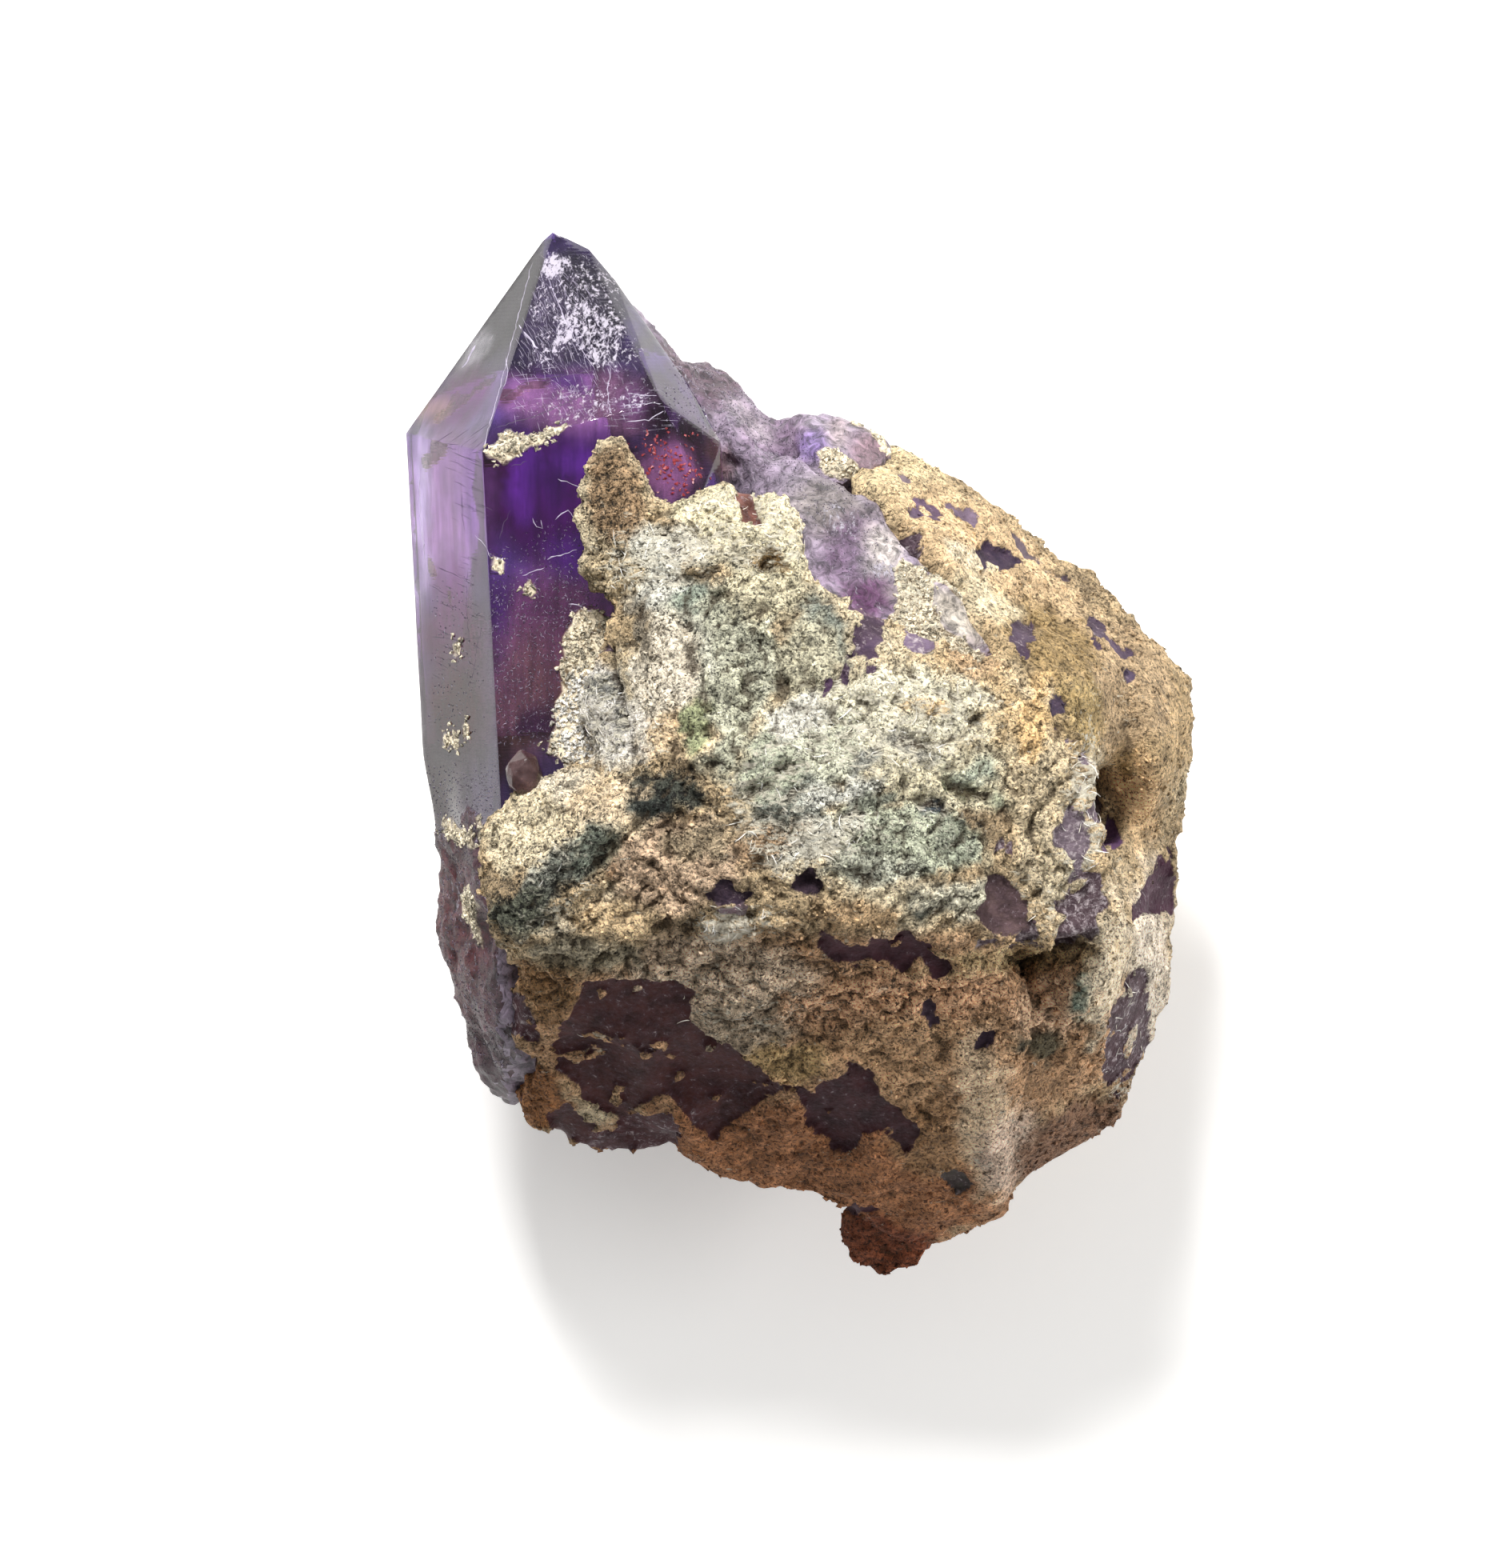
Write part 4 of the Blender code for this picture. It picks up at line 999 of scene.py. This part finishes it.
def crustMaterial():
    look = crustLook
    made, node = newMaterial("weatheredCrustAndQuartz")
    place = node("ShaderNodeTexCoord", output="Object")
    ground, quartzTint = [
        node("ShaderNodeAttribute", output="Color", attribute_name=name) for name in ("ground", "quartzTint")
    ]
    frost, hollow, speckled, window, hazy, grainShade, rugged = [
        node("ShaderNodeAttribute", output="Fac", attribute_name=name)
        for name in ("frost", "hollow", "specks", "window", "haze", "grainShade", "rugged")
    ]
    combed = node("ShaderNodeMapping", {"Vector": place, "Rotation": (0, 0, 0.5), "Scale": (0.4, 1.25, 1.0)})
    soft, worms, pits, fibres, dots, veils = [
        node("ShaderNodeTexNoise", dict(zip(noiseInputs, values)))
        for values in (
            (place, 1.0 / mm, 5.0, 0.62),
            (place, 3.4 / mm, 6.0, 0.8, 1.2),
            (place, 6.5 / mm, 3.0, 0.7, 0.5),
            (combed, 3.6 / mm, 5.0, 0.72, 0.7),
            (place, 4.4 / mm, 3.0, 0.8),
            (place, 3.2 / mm, 6.0, 0.78, 0.4),
        )
    ]
    cells = node("ShaderNodeTexVoronoi", {"Vector": place, "Scale": 1.0 / look["grainSize"]})

    # the earth: soft blotches, coarse mottling, and sparse dark pits, their darkness partly painted shade
    shade, deepShade, softShade, pitShade = [
        node("ShaderNodeMapRange", values)
        for values in (
            (worms, 0.4, 0.58, 0.6, 1.3),
            (worms, 0.39, 0.57, 0.34, 1.7),
            (soft, 0.32, 0.68, 0.66, 1.36),
            (pits, 0.53, 0.6, 1.16, 0.3),
        )
    ]
    shade = node("ShaderNodeMix", {0: rugged, 2: shade, 3: deepShade})
    grainShade = node("ShaderNodeMath", (grainShade, 1.0), operation="ADD")
    for factor in (softShade, pitShade, grainShade):
        shade = node("ShaderNodeMath", (shade, factor), operation="MULTIPLY")
    earth = node("ShaderNodeVectorMath", {0: ground, "Scale": shade}, operation="SCALE")

    # dirt and painted shade in the hollows, white frosting in short fibres, and dark specks
    raised = node("ShaderNodeMath", (frost, 0.36, fibres), operation="MULTIPLY_ADD")
    dotted = node("ShaderNodeMath", (speckled, 0.22, dots), operation="MULTIPLY_ADD")
    for values, over in (
        ((hollow, 0.3, 1.0, 0.0, 0.75), "hollowDirtAndShadeColour"),
        ((raised, 0.66, 0.78, 0.0, 0.95), "frostColour"),
        ((dotted, 0.71, 0.75, 0.0, 0.9), "speckColour"),
    ):
        share = node("ShaderNodeMapRange", values)
        earth = node("ShaderNodeMix", {0: share, 6: earth, 7: linear(look[over])}, 2, data_type="RGBA")

    # the bare quartz, with ragged edges, veils and white flecks
    ragged = node("ShaderNodeMath", (worms, 0.4, -0.2), operation="MULTIPLY_ADD")
    depth = node("ShaderNodeMath", (window, ragged), operation="ADD")
    bare = node("ShaderNodeMapRange", (depth, -0.03, 0.03, 0.0, 1.0))
    quartzShade = node("ShaderNodeMapRange", (soft, 0.35, 0.65, 0.55, 1.5))
    quartz = node("ShaderNodeVectorMath", {0: quartzTint, "Scale": quartzShade}, operation="SCALE")
    milky = node("ShaderNodeMath", (hazy, 0.34, veils), operation="MULTIPLY_ADD")
    for values, over in (
        ((milky, 0.42, 0.66, 0.0, 0.4), "quartzVeil"),
        ((milky, 0.63, 0.76, 0.0, 0.8), "quartzFleck"),
    ):
        share = node("ShaderNodeMapRange", values)
        quartz = node("ShaderNodeMix", {0: share, 6: quartz, 7: linear(look[over])}, 2, data_type="RGBA")
    colour = node("ShaderNodeMix", {0: bare, 6: earth, 7: quartz}, 2, data_type="RGBA")
    rough, gloss, flat = [
        node("ShaderNodeMapRange", (bare, 0.0, 1.0, *look[name])) for name in ("roughness", "gloss", "relief")
    ]

    # relief finer than the mesh
    height = worms
    for layer, much in ((cells, -0.5), (fibres, 0.7), (pits, -0.6)):
        height = node("ShaderNodeMath", (layer, much, height), operation="MULTIPLY_ADD")
    height = node("ShaderNodeMath", (height, flat), operation="MULTIPLY")
    bump = node("ShaderNodeBump", {"Strength": 0.9, "Distance": 0.35 * mm, "Height": height})
    surface = {"Base Color": colour, "Roughness": rough, "IOR": 1.5, "Specular IOR Level": gloss}
    shader = node("ShaderNodeBsdfPrincipled", {**surface, "Normal": bump})
    node("ShaderNodeOutputMaterial", {"Surface": shader})
    return made


def mottledMaterial(name, hexColour, roughness, perMm, transmission=0.0):  # one colour, in two shades
    made, node = newMaterial(name)
    place = node("ShaderNodeTexCoord", output="Object")
    mottle = node("ShaderNodeTexNoise", dict(zip(noiseInputs, (place, perMm / mm, 4.0, 0.65))))
    share = node("ShaderNodeMapRange", (mottle, 0.35, 0.65, 0.0, 1.0))
    rough = node("ShaderNodeMapRange", (mottle, 0.3, 0.7, roughness * 0.7, roughness * 1.2))
    dark = linear(hexColour)
    pale = tuple(min(1.0, 1.7 * c + 0.02) for c in dark[:3]) + (1.0,)
    colour = node("ShaderNodeMix", {0: share, 6: dark, 7: pale}, 2, data_type="RGBA")
    bump = node("ShaderNodeBump", {"Strength": 0.4, "Distance": 0.1 * mm, "Height": mottle})
    surface = {"Base Color": colour, "Roughness": rough, "IOR": amethystLook["ior"], "Normal": bump}
    shader = node("ShaderNodeBsdfPrincipled", {**surface, "Transmission Weight": transmission})
    node("ShaderNodeOutputMaterial", {"Surface": shader})
    return made


amethyst = amethystMaterial()
crust = crustMaterial()
# splinters of quartz along scratches and cracks: white, because they scatter the light; also the painted
# highlights and the painted reflection drawn as white strokes
quartzSplintersAndHighlights = mottledMaterial("splinteryQuartzAndPaintedHighlights", "#938b9c", 0.5, 2.0)
# thin scales of iron oxide: deep red, with a dull gloss
hematite = mottledMaterial("redHematiteScale", "#731d24", 0.35, 3.0)
# painted shadow: the shadowed gap of an open crack, painted dark; the same material makes the dark specks and
# growth lines
crackShadowAndSpecks = mottledMaterial("shadowInCracksAndDarkSpecks", "#2c1d33", 0.7, 3.0)
# fine white zeolite fibres on the crust, silky and dull
whiteFibre = mottledMaterial("whiteZeoliteFibre", "#eae0c8", 0.6, 1.0)
# quartz darkened by natural radiation, cloudy inside
smokyQuartz = mottledMaterial("smokyQuartzGlass", "#4c3434", 0.24, 1.6, 0.45)

for mesh, material in ((crystalMesh, amethyst), (matrixMesh, crust)):
    mesh.materials.clear()
    mesh.materials.append(material)
matrixMesh.shade_smooth()
finishPiece(addObject("amethystCrystal", crystalMesh), "amethyst", "amethyst_crystal")
finishPiece(matrix, "weathered_matrix", "matrix_rock")

print("stage 4: grains, fibres and flecks")

grainForm = {
    "fine": (0.06 * mm, 0.13 * mm, 10.5e6),  # smallest and largest radius, and how many per square metre
    "coarse": (0.12 * mm, 0.24 * mm, 2.6e6),
    "corners": 8,
    "variants": 5,
    "shadeSpread": 0.45,  # how much lighter or darker than the crust a grain may be
    "seed": 11,
}
fleckForm = {
    "specks": (0.016 * mm, 0.055 * mm, 60.0e6),
    "hematite": (0.04 * mm, 0.15 * mm, 30.0e6),
    "crust": (0.05 * mm, 0.2 * mm, 60.0e6),
}
hairForm = {
    "rings": 4,
    "fibreThickness": 0.028,  # of its length
    "scratchThickness": 0.009,
    "curlThickness": 0.04,
    "fibres": (0.3 * mm, 0.9 * mm, 8.0e6),
    "curls": (0.06 * mm, 0.24 * mm, 34.0e6),
    "scratches": (0.15 * mm, 0.8 * mm, 24.0e6),
    "bandLines": (0.2 * mm, 0.9 * mm, 6.0e6),
    "growthLines": (0.4 * mm, 1.4 * mm, 6.0e6),
}


def grainMesh(index):  # an angular grain of about a dozen faces
    rng = np.random.default_rng(grainForm["seed"] + index)
    bm = bmesh.new()
    for spot in rng.normal(size=(grainForm["corners"], 3)):
        bm.verts.new(spot / np.linalg.norm(spot) * (1.0, 0.85, 0.7) * rng.uniform(0.8, 1.1))
    bmesh.ops.convex_hull(bm, input=bm.verts)
    bmesh.ops.recalc_face_normals(bm, faces=bm.faces)
    return meshFrom(bm, "grain")


def skinRings(bm, rings):  # walls between neighbouring rings of points, and a cap at each end
    count = len(rings[0])
    for first, second in zip(rings, rings[1:]):
        for k in range(count):
            bm.faces.new((first[k], first[(k + 1) % count], second[(k + 1) % count], second[k]))
    bm.faces.new(rings[0])
    bm.faces.new(rings[-1])


def hairMesh(bend, thickness):  # a hair of three sides, one unit long, bent by this many radians
    bm = bmesh.new()
    rings = []
    for i in range(hairForm["rings"] + 1):
        t = i / hairForm["rings"]
        angle = bend * (t - 0.5)
        middle = Vector((t - 0.5, 0.25 * bend * (1 - (2 * t - 1) ** 2), 0))
        thick = thickness * (1.0 - 0.7 * abs(2 * t - 1))
        side = Vector((-math.sin(angle), math.cos(angle), 0)) * thick
        up = Vector((0, 0, 1)) * thick
        rings.append([bm.verts.new(middle + side * math.cos(a) + up * math.sin(a)) for a in (0.5, 2.6, 4.7)])
    skinRings(bm, rings)
    bmesh.ops.triangulate(bm, faces=bm.faces)
    bmesh.ops.recalc_face_normals(bm, faces=bm.faces)
    return meshFrom(bm, "hair")


def shapeSet(name, meshes):  # shapes that a scatter picks from, in a collection out of the scene
    made = bpy.data.collections.new(name)
    for mesh in meshes:
        made.objects.link(bpy.data.objects.new(name, mesh))
    return made


scatterInputs = {
    "Geometry": "Geometry",
    "Shapes": "Collection",
    "Where": "String",
    "Smallest": "Float",
    "Largest": "Float",
    "Density": "Float",
    "Material": "Material",
    "Tilt": "Float",
    "Direction": "Vector",
    "Turn Spread": "Float",
    "Shade Spread": "Float",
    "Seed": "Int",
}


def scatterTree():
    tree = bpy.data.node_groups.new("scatterOnSurface", "GeometryNodeTree")
    for name, kind in scatterInputs.items():
        tree.interface.new_socket(name, in_out="INPUT", socket_type="NodeSocket" + kind)
    tree.interface.new_socket("Geometry", in_out="OUTPUT", socket_type="NodeSocketGeometry")
    node = partial(addNode, tree)
    given = node("NodeGroupInput").node.outputs
    share = node("GeometryNodeInputNamedAttribute", {"Name": given["Where"]}, data_type="FLOAT")
    density = node("ShaderNodeMath", (given["Density"], share), operation="MULTIPLY")
    ground = {"Mesh": given["Geometry"], "Density": density, "Seed": given["Seed"]}
    points = node("GeometryNodeDistributePointsOnFaces", ground).node.outputs
    choice = {"Collection": given["Shapes"], "Separate Children": True, "Reset Children": True}
    shapes = node("GeometryNodeCollectionInfo", choice)
    # each shape lies flat on the surface along the direction, and is then turned and tilted a little
    along = {"Rotation": points["Rotation"], "Vector": given["Direction"]}
    aligned = node("FunctionNodeAlignRotationToVector", along, axis="X", pivot_axis="Z")
    highTurn = node("ShaderNodeCombineXYZ", (given["Tilt"], given["Tilt"], given["Turn Spread"]))
    lowTurn = node("ShaderNodeVectorMath", {0: highTurn, "Scale": -1.0}, operation="SCALE")
    turns = {0: lowTurn, 1: highTurn, "Seed": given["Seed"]}
    turn = node("FunctionNodeRandomValue", turns, data_type="FLOAT_VECTOR")
    rotated = {"Rotation": aligned, "Rotate By": turn}
    rotation = node("FunctionNodeRotateRotation", rotated, rotation_space="LOCAL")
    sizes = {2: given["Smallest"], 3: given["Largest"], "Seed": given["Seed"]}
    size = node("FunctionNodeRandomValue", sizes, 1, data_type="FLOAT")
    lowShade = node("ShaderNodeMath", (given["Shade Spread"], -1.0), operation="MULTIPLY")
    shades = {2: lowShade, 3: given["Shade Spread"], "Seed": 5}
    shade = node("FunctionNodeRandomValue", shades, 1, data_type="FLOAT")
    stored = {"Geometry": points["Points"], "Name": "grainShade", "Value": shade}
    shaded = node("GeometryNodeStoreNamedAttribute", stored, data_type="FLOAT", domain="POINT")
    spots = {"Points": shaded, "Instance": shapes, "Pick Instance": True, "Rotation": rotation, "Scale": size}
    placed = node("GeometryNodeInstanceOnPoints", spots)
    real = node("GeometryNodeRealizeInstances", {"Geometry": placed})
    dressed = node("GeometryNodeSetMaterial", {"Geometry": real, "Material": given["Material"]})
    node("NodeGroupOutput", {"Geometry": dressed})
    return tree


surfaceScatter = scatterTree()
grainShapes = shapeSet("angularGrains", [grainMesh(i) for i in range(grainForm["variants"])])
fibreShapes = shapeSet("bentFibres", [hairMesh(bend, hairForm["fibreThickness"]) for bend in (0.1, 0.5, 0.9)])
curlShapes = shapeSet("curls", [hairMesh(bend, hairForm["curlThickness"]) for bend in (0.5, 1.2, 2.0)])
scratchShapes = shapeSet("scratches", [hairMesh(bend, hairForm["scratchThickness"]) for bend in (0.02, 0.1)])


# Runs the scatter on a mesh and makes the result a plain piece. Turn is how far a shape may turn away
# from the direction, in radians.
def scatter(
    name, baseMesh, shapes, where, sizes, material, slotName, tilt=0.6, direction=(1, 0, 0), turn=3.14, seed=7
):
    carrier = addObject(name + "Carrier", baseMesh.copy())
    modifier = carrier.modifiers.new("scatter", "NODES")
    modifier.node_group = surfaceScatter
    given = (shapes, where, *sizes, material, tilt, direction, turn, grainForm["shadeSpread"], seed)
    values = dict(zip(list(scatterInputs)[1:], given))
    for item in surfaceScatter.interface.items_tree:
        if item.in_out == "INPUT" and item.name in values:
            modifier[item.identifier] = values[item.name]
    graph = bpy.context.evaluated_depsgraph_get()
    mesh = bpy.data.meshes.new_from_object(carrier.evaluated_get(graph))
    bpy.data.objects.remove(carrier)
    print("  " + name, "triangles:", sum(len(p.vertices) - 2 for p in mesh.polygons))
    finishPiece(addObject(name, mesh), slotName)


onRock, onQuartz = "weathered_matrix", "amethyst"  # the slots
scatters = {  # mesh, shapes, where, sizes and density, material, slot, and what differs from the rest
    "fineCrustGrains": (matrixMesh, grainShapes, "grainShare", grainForm["fine"], crust, onRock, {"seed": 3}),
    "coarseCrustGrains": (
        matrixMesh, grainShapes, "grainShare", grainForm["coarse"], crust, onRock, {"seed": 4}
    ),
    "crustFibres": (
        matrixMesh, fibreShapes, "fibreShare", hairForm["fibres"], whiteFibre, onRock, {"tilt": 0.45}
    ),
    "crystalCrust": (crystalMesh, grainShapes, "crustShare", fleckForm["crust"], crust, onRock, {}),
    "crystalSpecks": (
        crystalMesh, grainShapes, "curlShare", fleckForm["specks"], crackShadowAndSpecks, onQuartz, {"tilt": 0.3}
    ),
    "hematiteFlecks": (
        crystalMesh, grainShapes, "fleckShare", fleckForm["hematite"], hematite, onQuartz, {"tilt": 0.3}
    ),
    "crystalCurls": (
        crystalMesh, curlShapes, "curlShare", hairForm["curls"], quartzSplintersAndHighlights, onQuartz, {"tilt": 0.15}
    ),
    "tipScratches": (
        crystalMesh, scratchShapes, "scratchShare", hairForm["scratches"], quartzSplintersAndHighlights, onQuartz,
        {"tilt": 0.02, "direction": (0.42, -0.91, 0), "turn": 0.3},
    ),
    "bandScratches": (
        crystalMesh, scratchShapes, "bandShare", hairForm["bandLines"], quartzSplintersAndHighlights, onQuartz,
        {"tilt": 0.02, "direction": (1, 0.04, 0), "turn": 0.12},
    ),
    "growthLines": (
        crystalMesh, scratchShapes, "lineShare", hairForm["growthLines"], crackShadowAndSpecks, onQuartz,
        {"tilt": 0.02, "direction": (1, -0.06, 0), "turn": 0.06},
    ),
}
for name, (*given, more) in scatters.items():
    scatter(name, *given, **more)

# Scratches, cracks and lines on the crystal, and among the white ones painted highlights and a painted
# reflection: the pixels that they pass, and the thickness in mm
scratchAndHighlightStrokes = [
    ("649,408 660,421 673,438", 0.05),
    ("684,345 700,385 722,430 745,465", 0.014),
    ("776,511 800,508 829,507", 0.02),
    ("784,494 806,497 826,499", 0.018),
    ("785,530 812,528 834,514", 0.02),
    # painted highlight along the termination's left ridge
    ("665,328 640,430 606,566", 0.02),
    ("764,461 760,490 766,530", 0.013),
    ("699,601 715,607 733,616", 0.018),
    ("595,671 609,684 616,699", 0.02),
    ("686,700 702,696 722,689", 0.024),
    ("712,756 724,758 742,766", 0.024),
    ("655,722 668,716 682,712", 0.02),
    ("633,448 636,470 630,490", 0.015),
    # painted highlight along the left edge of the prism face
    ("524,600 526,650 531,700", 0.03),
    # painted reflection: a pale streak on the smoky tip
    ("594,432 586,446 579,460", 0.09),
    ("628,330 604,368 580,405", 0.015),
    ("696,652 704,644 712,640 718,648", 0.02),
    ("668,650 672,660 680,662 676,652", 0.018),
]
darkStrokes = [
    ("624,536 669,523 727,499 755,478", 0.018),
    ("578,618 579,640 582,667", 0.02),
    ("590,640 606,641", 0.012),
    ("586,716 584,760 588,800", 0.014),
    ("604,786 598,810 592,850", 0.016),
    ("540,796 570,800 604,798", 0.012),
    ("640,640 630,660 626,676", 0.014),
    ("640,585 652,583 660,578", 0.014),
    ("745,465 705,472 660,478 628,500", 0.014),
    ("700,470 704,500 698,530", 0.01),
]


strokeForm = {"step": 0.16 * mm, "wander": 0.02 * mm}


def strokesOnSurface(name, strokes, tree, material, seed):
    rng = np.random.default_rng(seed)
    bm = bmesh.new()
    for outline, thickness in strokes:
        path = corners(outline)
        spots = []
        for start, end in zip(path, path[1:]):
            steps = max(1, int(np.linalg.norm(end - start) / strokeForm["step"]))
            spots += [start + (end - start) * k / steps for k in range(steps)]
        hits = []
        for spot in spots + [path[-1]]:
            hit, normal = dropTo(tree, *(spot + rng.normal(size=2) * strokeForm["wander"]))
            if hit is not None:
                hits.append((hit, normal))
        if len(hits) < 3:
            continue
        rings = []
        for i, (hit, normal) in enumerate(hits):
            forward = hits[min(i + 1, len(hits) - 1)][0] - hits[max(i - 1, 0)][0]
            side = forward.cross(normal).normalized()
            thick = thickness * mm * (rng.uniform(0.5, 1.3) if 0 < i < len(hits) - 1 else 0.25)
            spread = (side * thick, normal * thick * 0.5, -side * thick, -normal * thick)
            rings.append([bm.verts.new(hit + step) for step in spread])
        skinRings(bm, rings)
    bmesh.ops.recalc_face_normals(bm, faces=bm.faces)
    mesh = meshFrom(bm, name)
    mesh.materials.append(material)
    finishPiece(addObject(name, mesh), "amethyst")


strokesOnSurface("whiteScratches", scratchAndHighlightStrokes, crystalTree, quartzSplintersAndHighlights, 21)
strokesOnSurface("darkCracks", darkStrokes, crystalTree, crackShadowAndSpecks, 22)

# A small round crystal set in the crust at the prism's foot
roundCrystal = {
    "column": 658,
    "row": 968,
    "wide": 25,  # its radii in pixels
    "high": 33,
    "turn": math.radians(8),
    "sunk": 0.5,  # the share of its radius that is set in the crust
    "corners": 60,
    "seed": 658,
}


def addRoundCrystal(name, material):
    form = roundCrystal
    heights = []
    for step in (-0.6, 0.0, 0.6, 0.9):
        spot = fromPhoto(form["column"], form["row"] + step * form["high"])
        hits = [dropTo(tree, *spot)[0] for tree in (crystalTree, matrixTree)]
        heights += [hit.z for hit in hits if hit is not None]
    wide, high = [form[side] / photo["pixelsPerMm"] * mm for side in ("wide", "high")]
    thick = min(wide, high)
    middle = Vector((*fromPhoto(form["column"], form["row"]), max(heights) - form["sunk"] * thick))
    rng = np.random.default_rng(form["seed"])
    bm = bmesh.new()
    for spot in rng.normal(size=(form["corners"], 3)):
        bm.verts.new(spot / np.linalg.norm(spot) * rng.uniform(0.9, 1.0))
    bmesh.ops.convex_hull(bm, input=bm.verts)
    bmesh.ops.bevel(bm, geom=bm.edges[:], offset=0.05, segments=2, affect="EDGES", profile=0.6)
    bmesh.ops.recalc_face_normals(bm, faces=bm.faces)
    spin = Matrix.Rotation(form["turn"], 3, "Z") @ Matrix.Diagonal((wide, high, thick))
    for v in bm.verts:
        v.co = spin @ v.co + middle
    mesh = meshFrom(bm, name)
    mesh.materials.append(material)
    finishPiece(addObject(name, mesh), "amethyst")


addRoundCrystal("roundBrownCrystal", smokyQuartz)

print("stage 5: the floor, the lights and the camera")

studio = {
    "floorSize": 1.6,
    "floorColour": "#fbfaf8",
    "floorGlow": 0.3,  # a light table: keeps the ground white round the specimen's shadow
    "keyPower": 4.9,
    "keySize": 0.13,
    "keyFrom": (-0.08, 0.40, 0.40),
    "sidePower": 1.7,
    "sideSize": 0.3,
    "sideFrom": (0.5, -0.02, 0.24),
    "skyColour": "#ffffff",
    "skyBehind": 0.5,  # strength of the sky on the far side, above the crystal's tip
    "skyBefore": 0.2,  # and on the near side
    "cameraHeight": 0.9,
    "focusHeight": 14.0 * mm,  # the height at which the photograph's scale holds
    "sensor": 36.0,
}


def buildFloor():
    bm = bmesh.new()
    bmesh.ops.create_circle(bm, cap_ends=True, segments=64, radius=studio["floorSize"] / 2)
    mesh = meshFrom(bm, "studioFloor")
    made, node = newMaterial("paleStudioPaper")
    pale = linear(studio["floorColour"])
    glow = {"Emission Color": pale, "Emission Strength": studio["floorGlow"]}
    shader = node("ShaderNodeBsdfPrincipled", {"Base Color": pale, "Roughness": 0.9, **glow})
    node("ShaderNodeOutputMaterial", {"Surface": shader})
    mesh.materials.append(made)
    addObject("studioFloor", mesh)


def addAreaLight(name, power, size, place):
    light = bpy.data.lights.new(name, "AREA")
    light.energy = power
    light.size = size
    made = addObject(name, light)
    made.location = place
    made.rotation_euler = (Vector((0, 0, midHeight)) - Vector(place)).to_track_quat("-Z", "Y").to_euler()


def setWorld():
    world = bpy.data.worlds.new("softSky")
    world.use_nodes = True
    tree = world.node_tree
    direction = addNode(tree, "ShaderNodeTexCoord", output="Generated")
    towardsTip = addNode(tree, "ShaderNodeSeparateXYZ", (direction,), "Y")
    sky = (towardsTip, -0.7, 0.7, studio["skyBefore"], studio["skyBehind"])
    strength = addNode(tree, "ShaderNodeMapRange", sky)
    background = tree.nodes["Background"]
    background.inputs["Color"].default_value = linear(studio["skyColour"])
    tree.links.new(strength, background.inputs["Strength"])
    scene.world = world


def addCamera():
    cameraData = bpy.data.cameras.new("camera")
    made = addObject("camera", cameraData)
    x, y = fromPhoto(photo["width"] / 2, photo["height"] / 2)
    made.location = (x, y, studio["cameraHeight"])
    frameHeight = photo["height"] / photo["pixelsPerMm"] * mm
    distance = studio["cameraHeight"] - studio["focusHeight"]
    cameraData.sensor_fit = "VERTICAL"
    cameraData.sensor_height = studio["sensor"]
    cameraData.lens = studio["sensor"] * distance / frameHeight
    cameraData.clip_end = 5.0
    scene.camera = made


buildFloor()
addAreaLight("keyLight", studio["keyPower"], studio["keySize"], studio["keyFrom"])
addAreaLight("sideLight", studio["sidePower"], studio["sideSize"], studio["sideFrom"])
setWorld()
addCamera()
scene.view_settings.view_transform = "Standard"

print("stage 6: done")
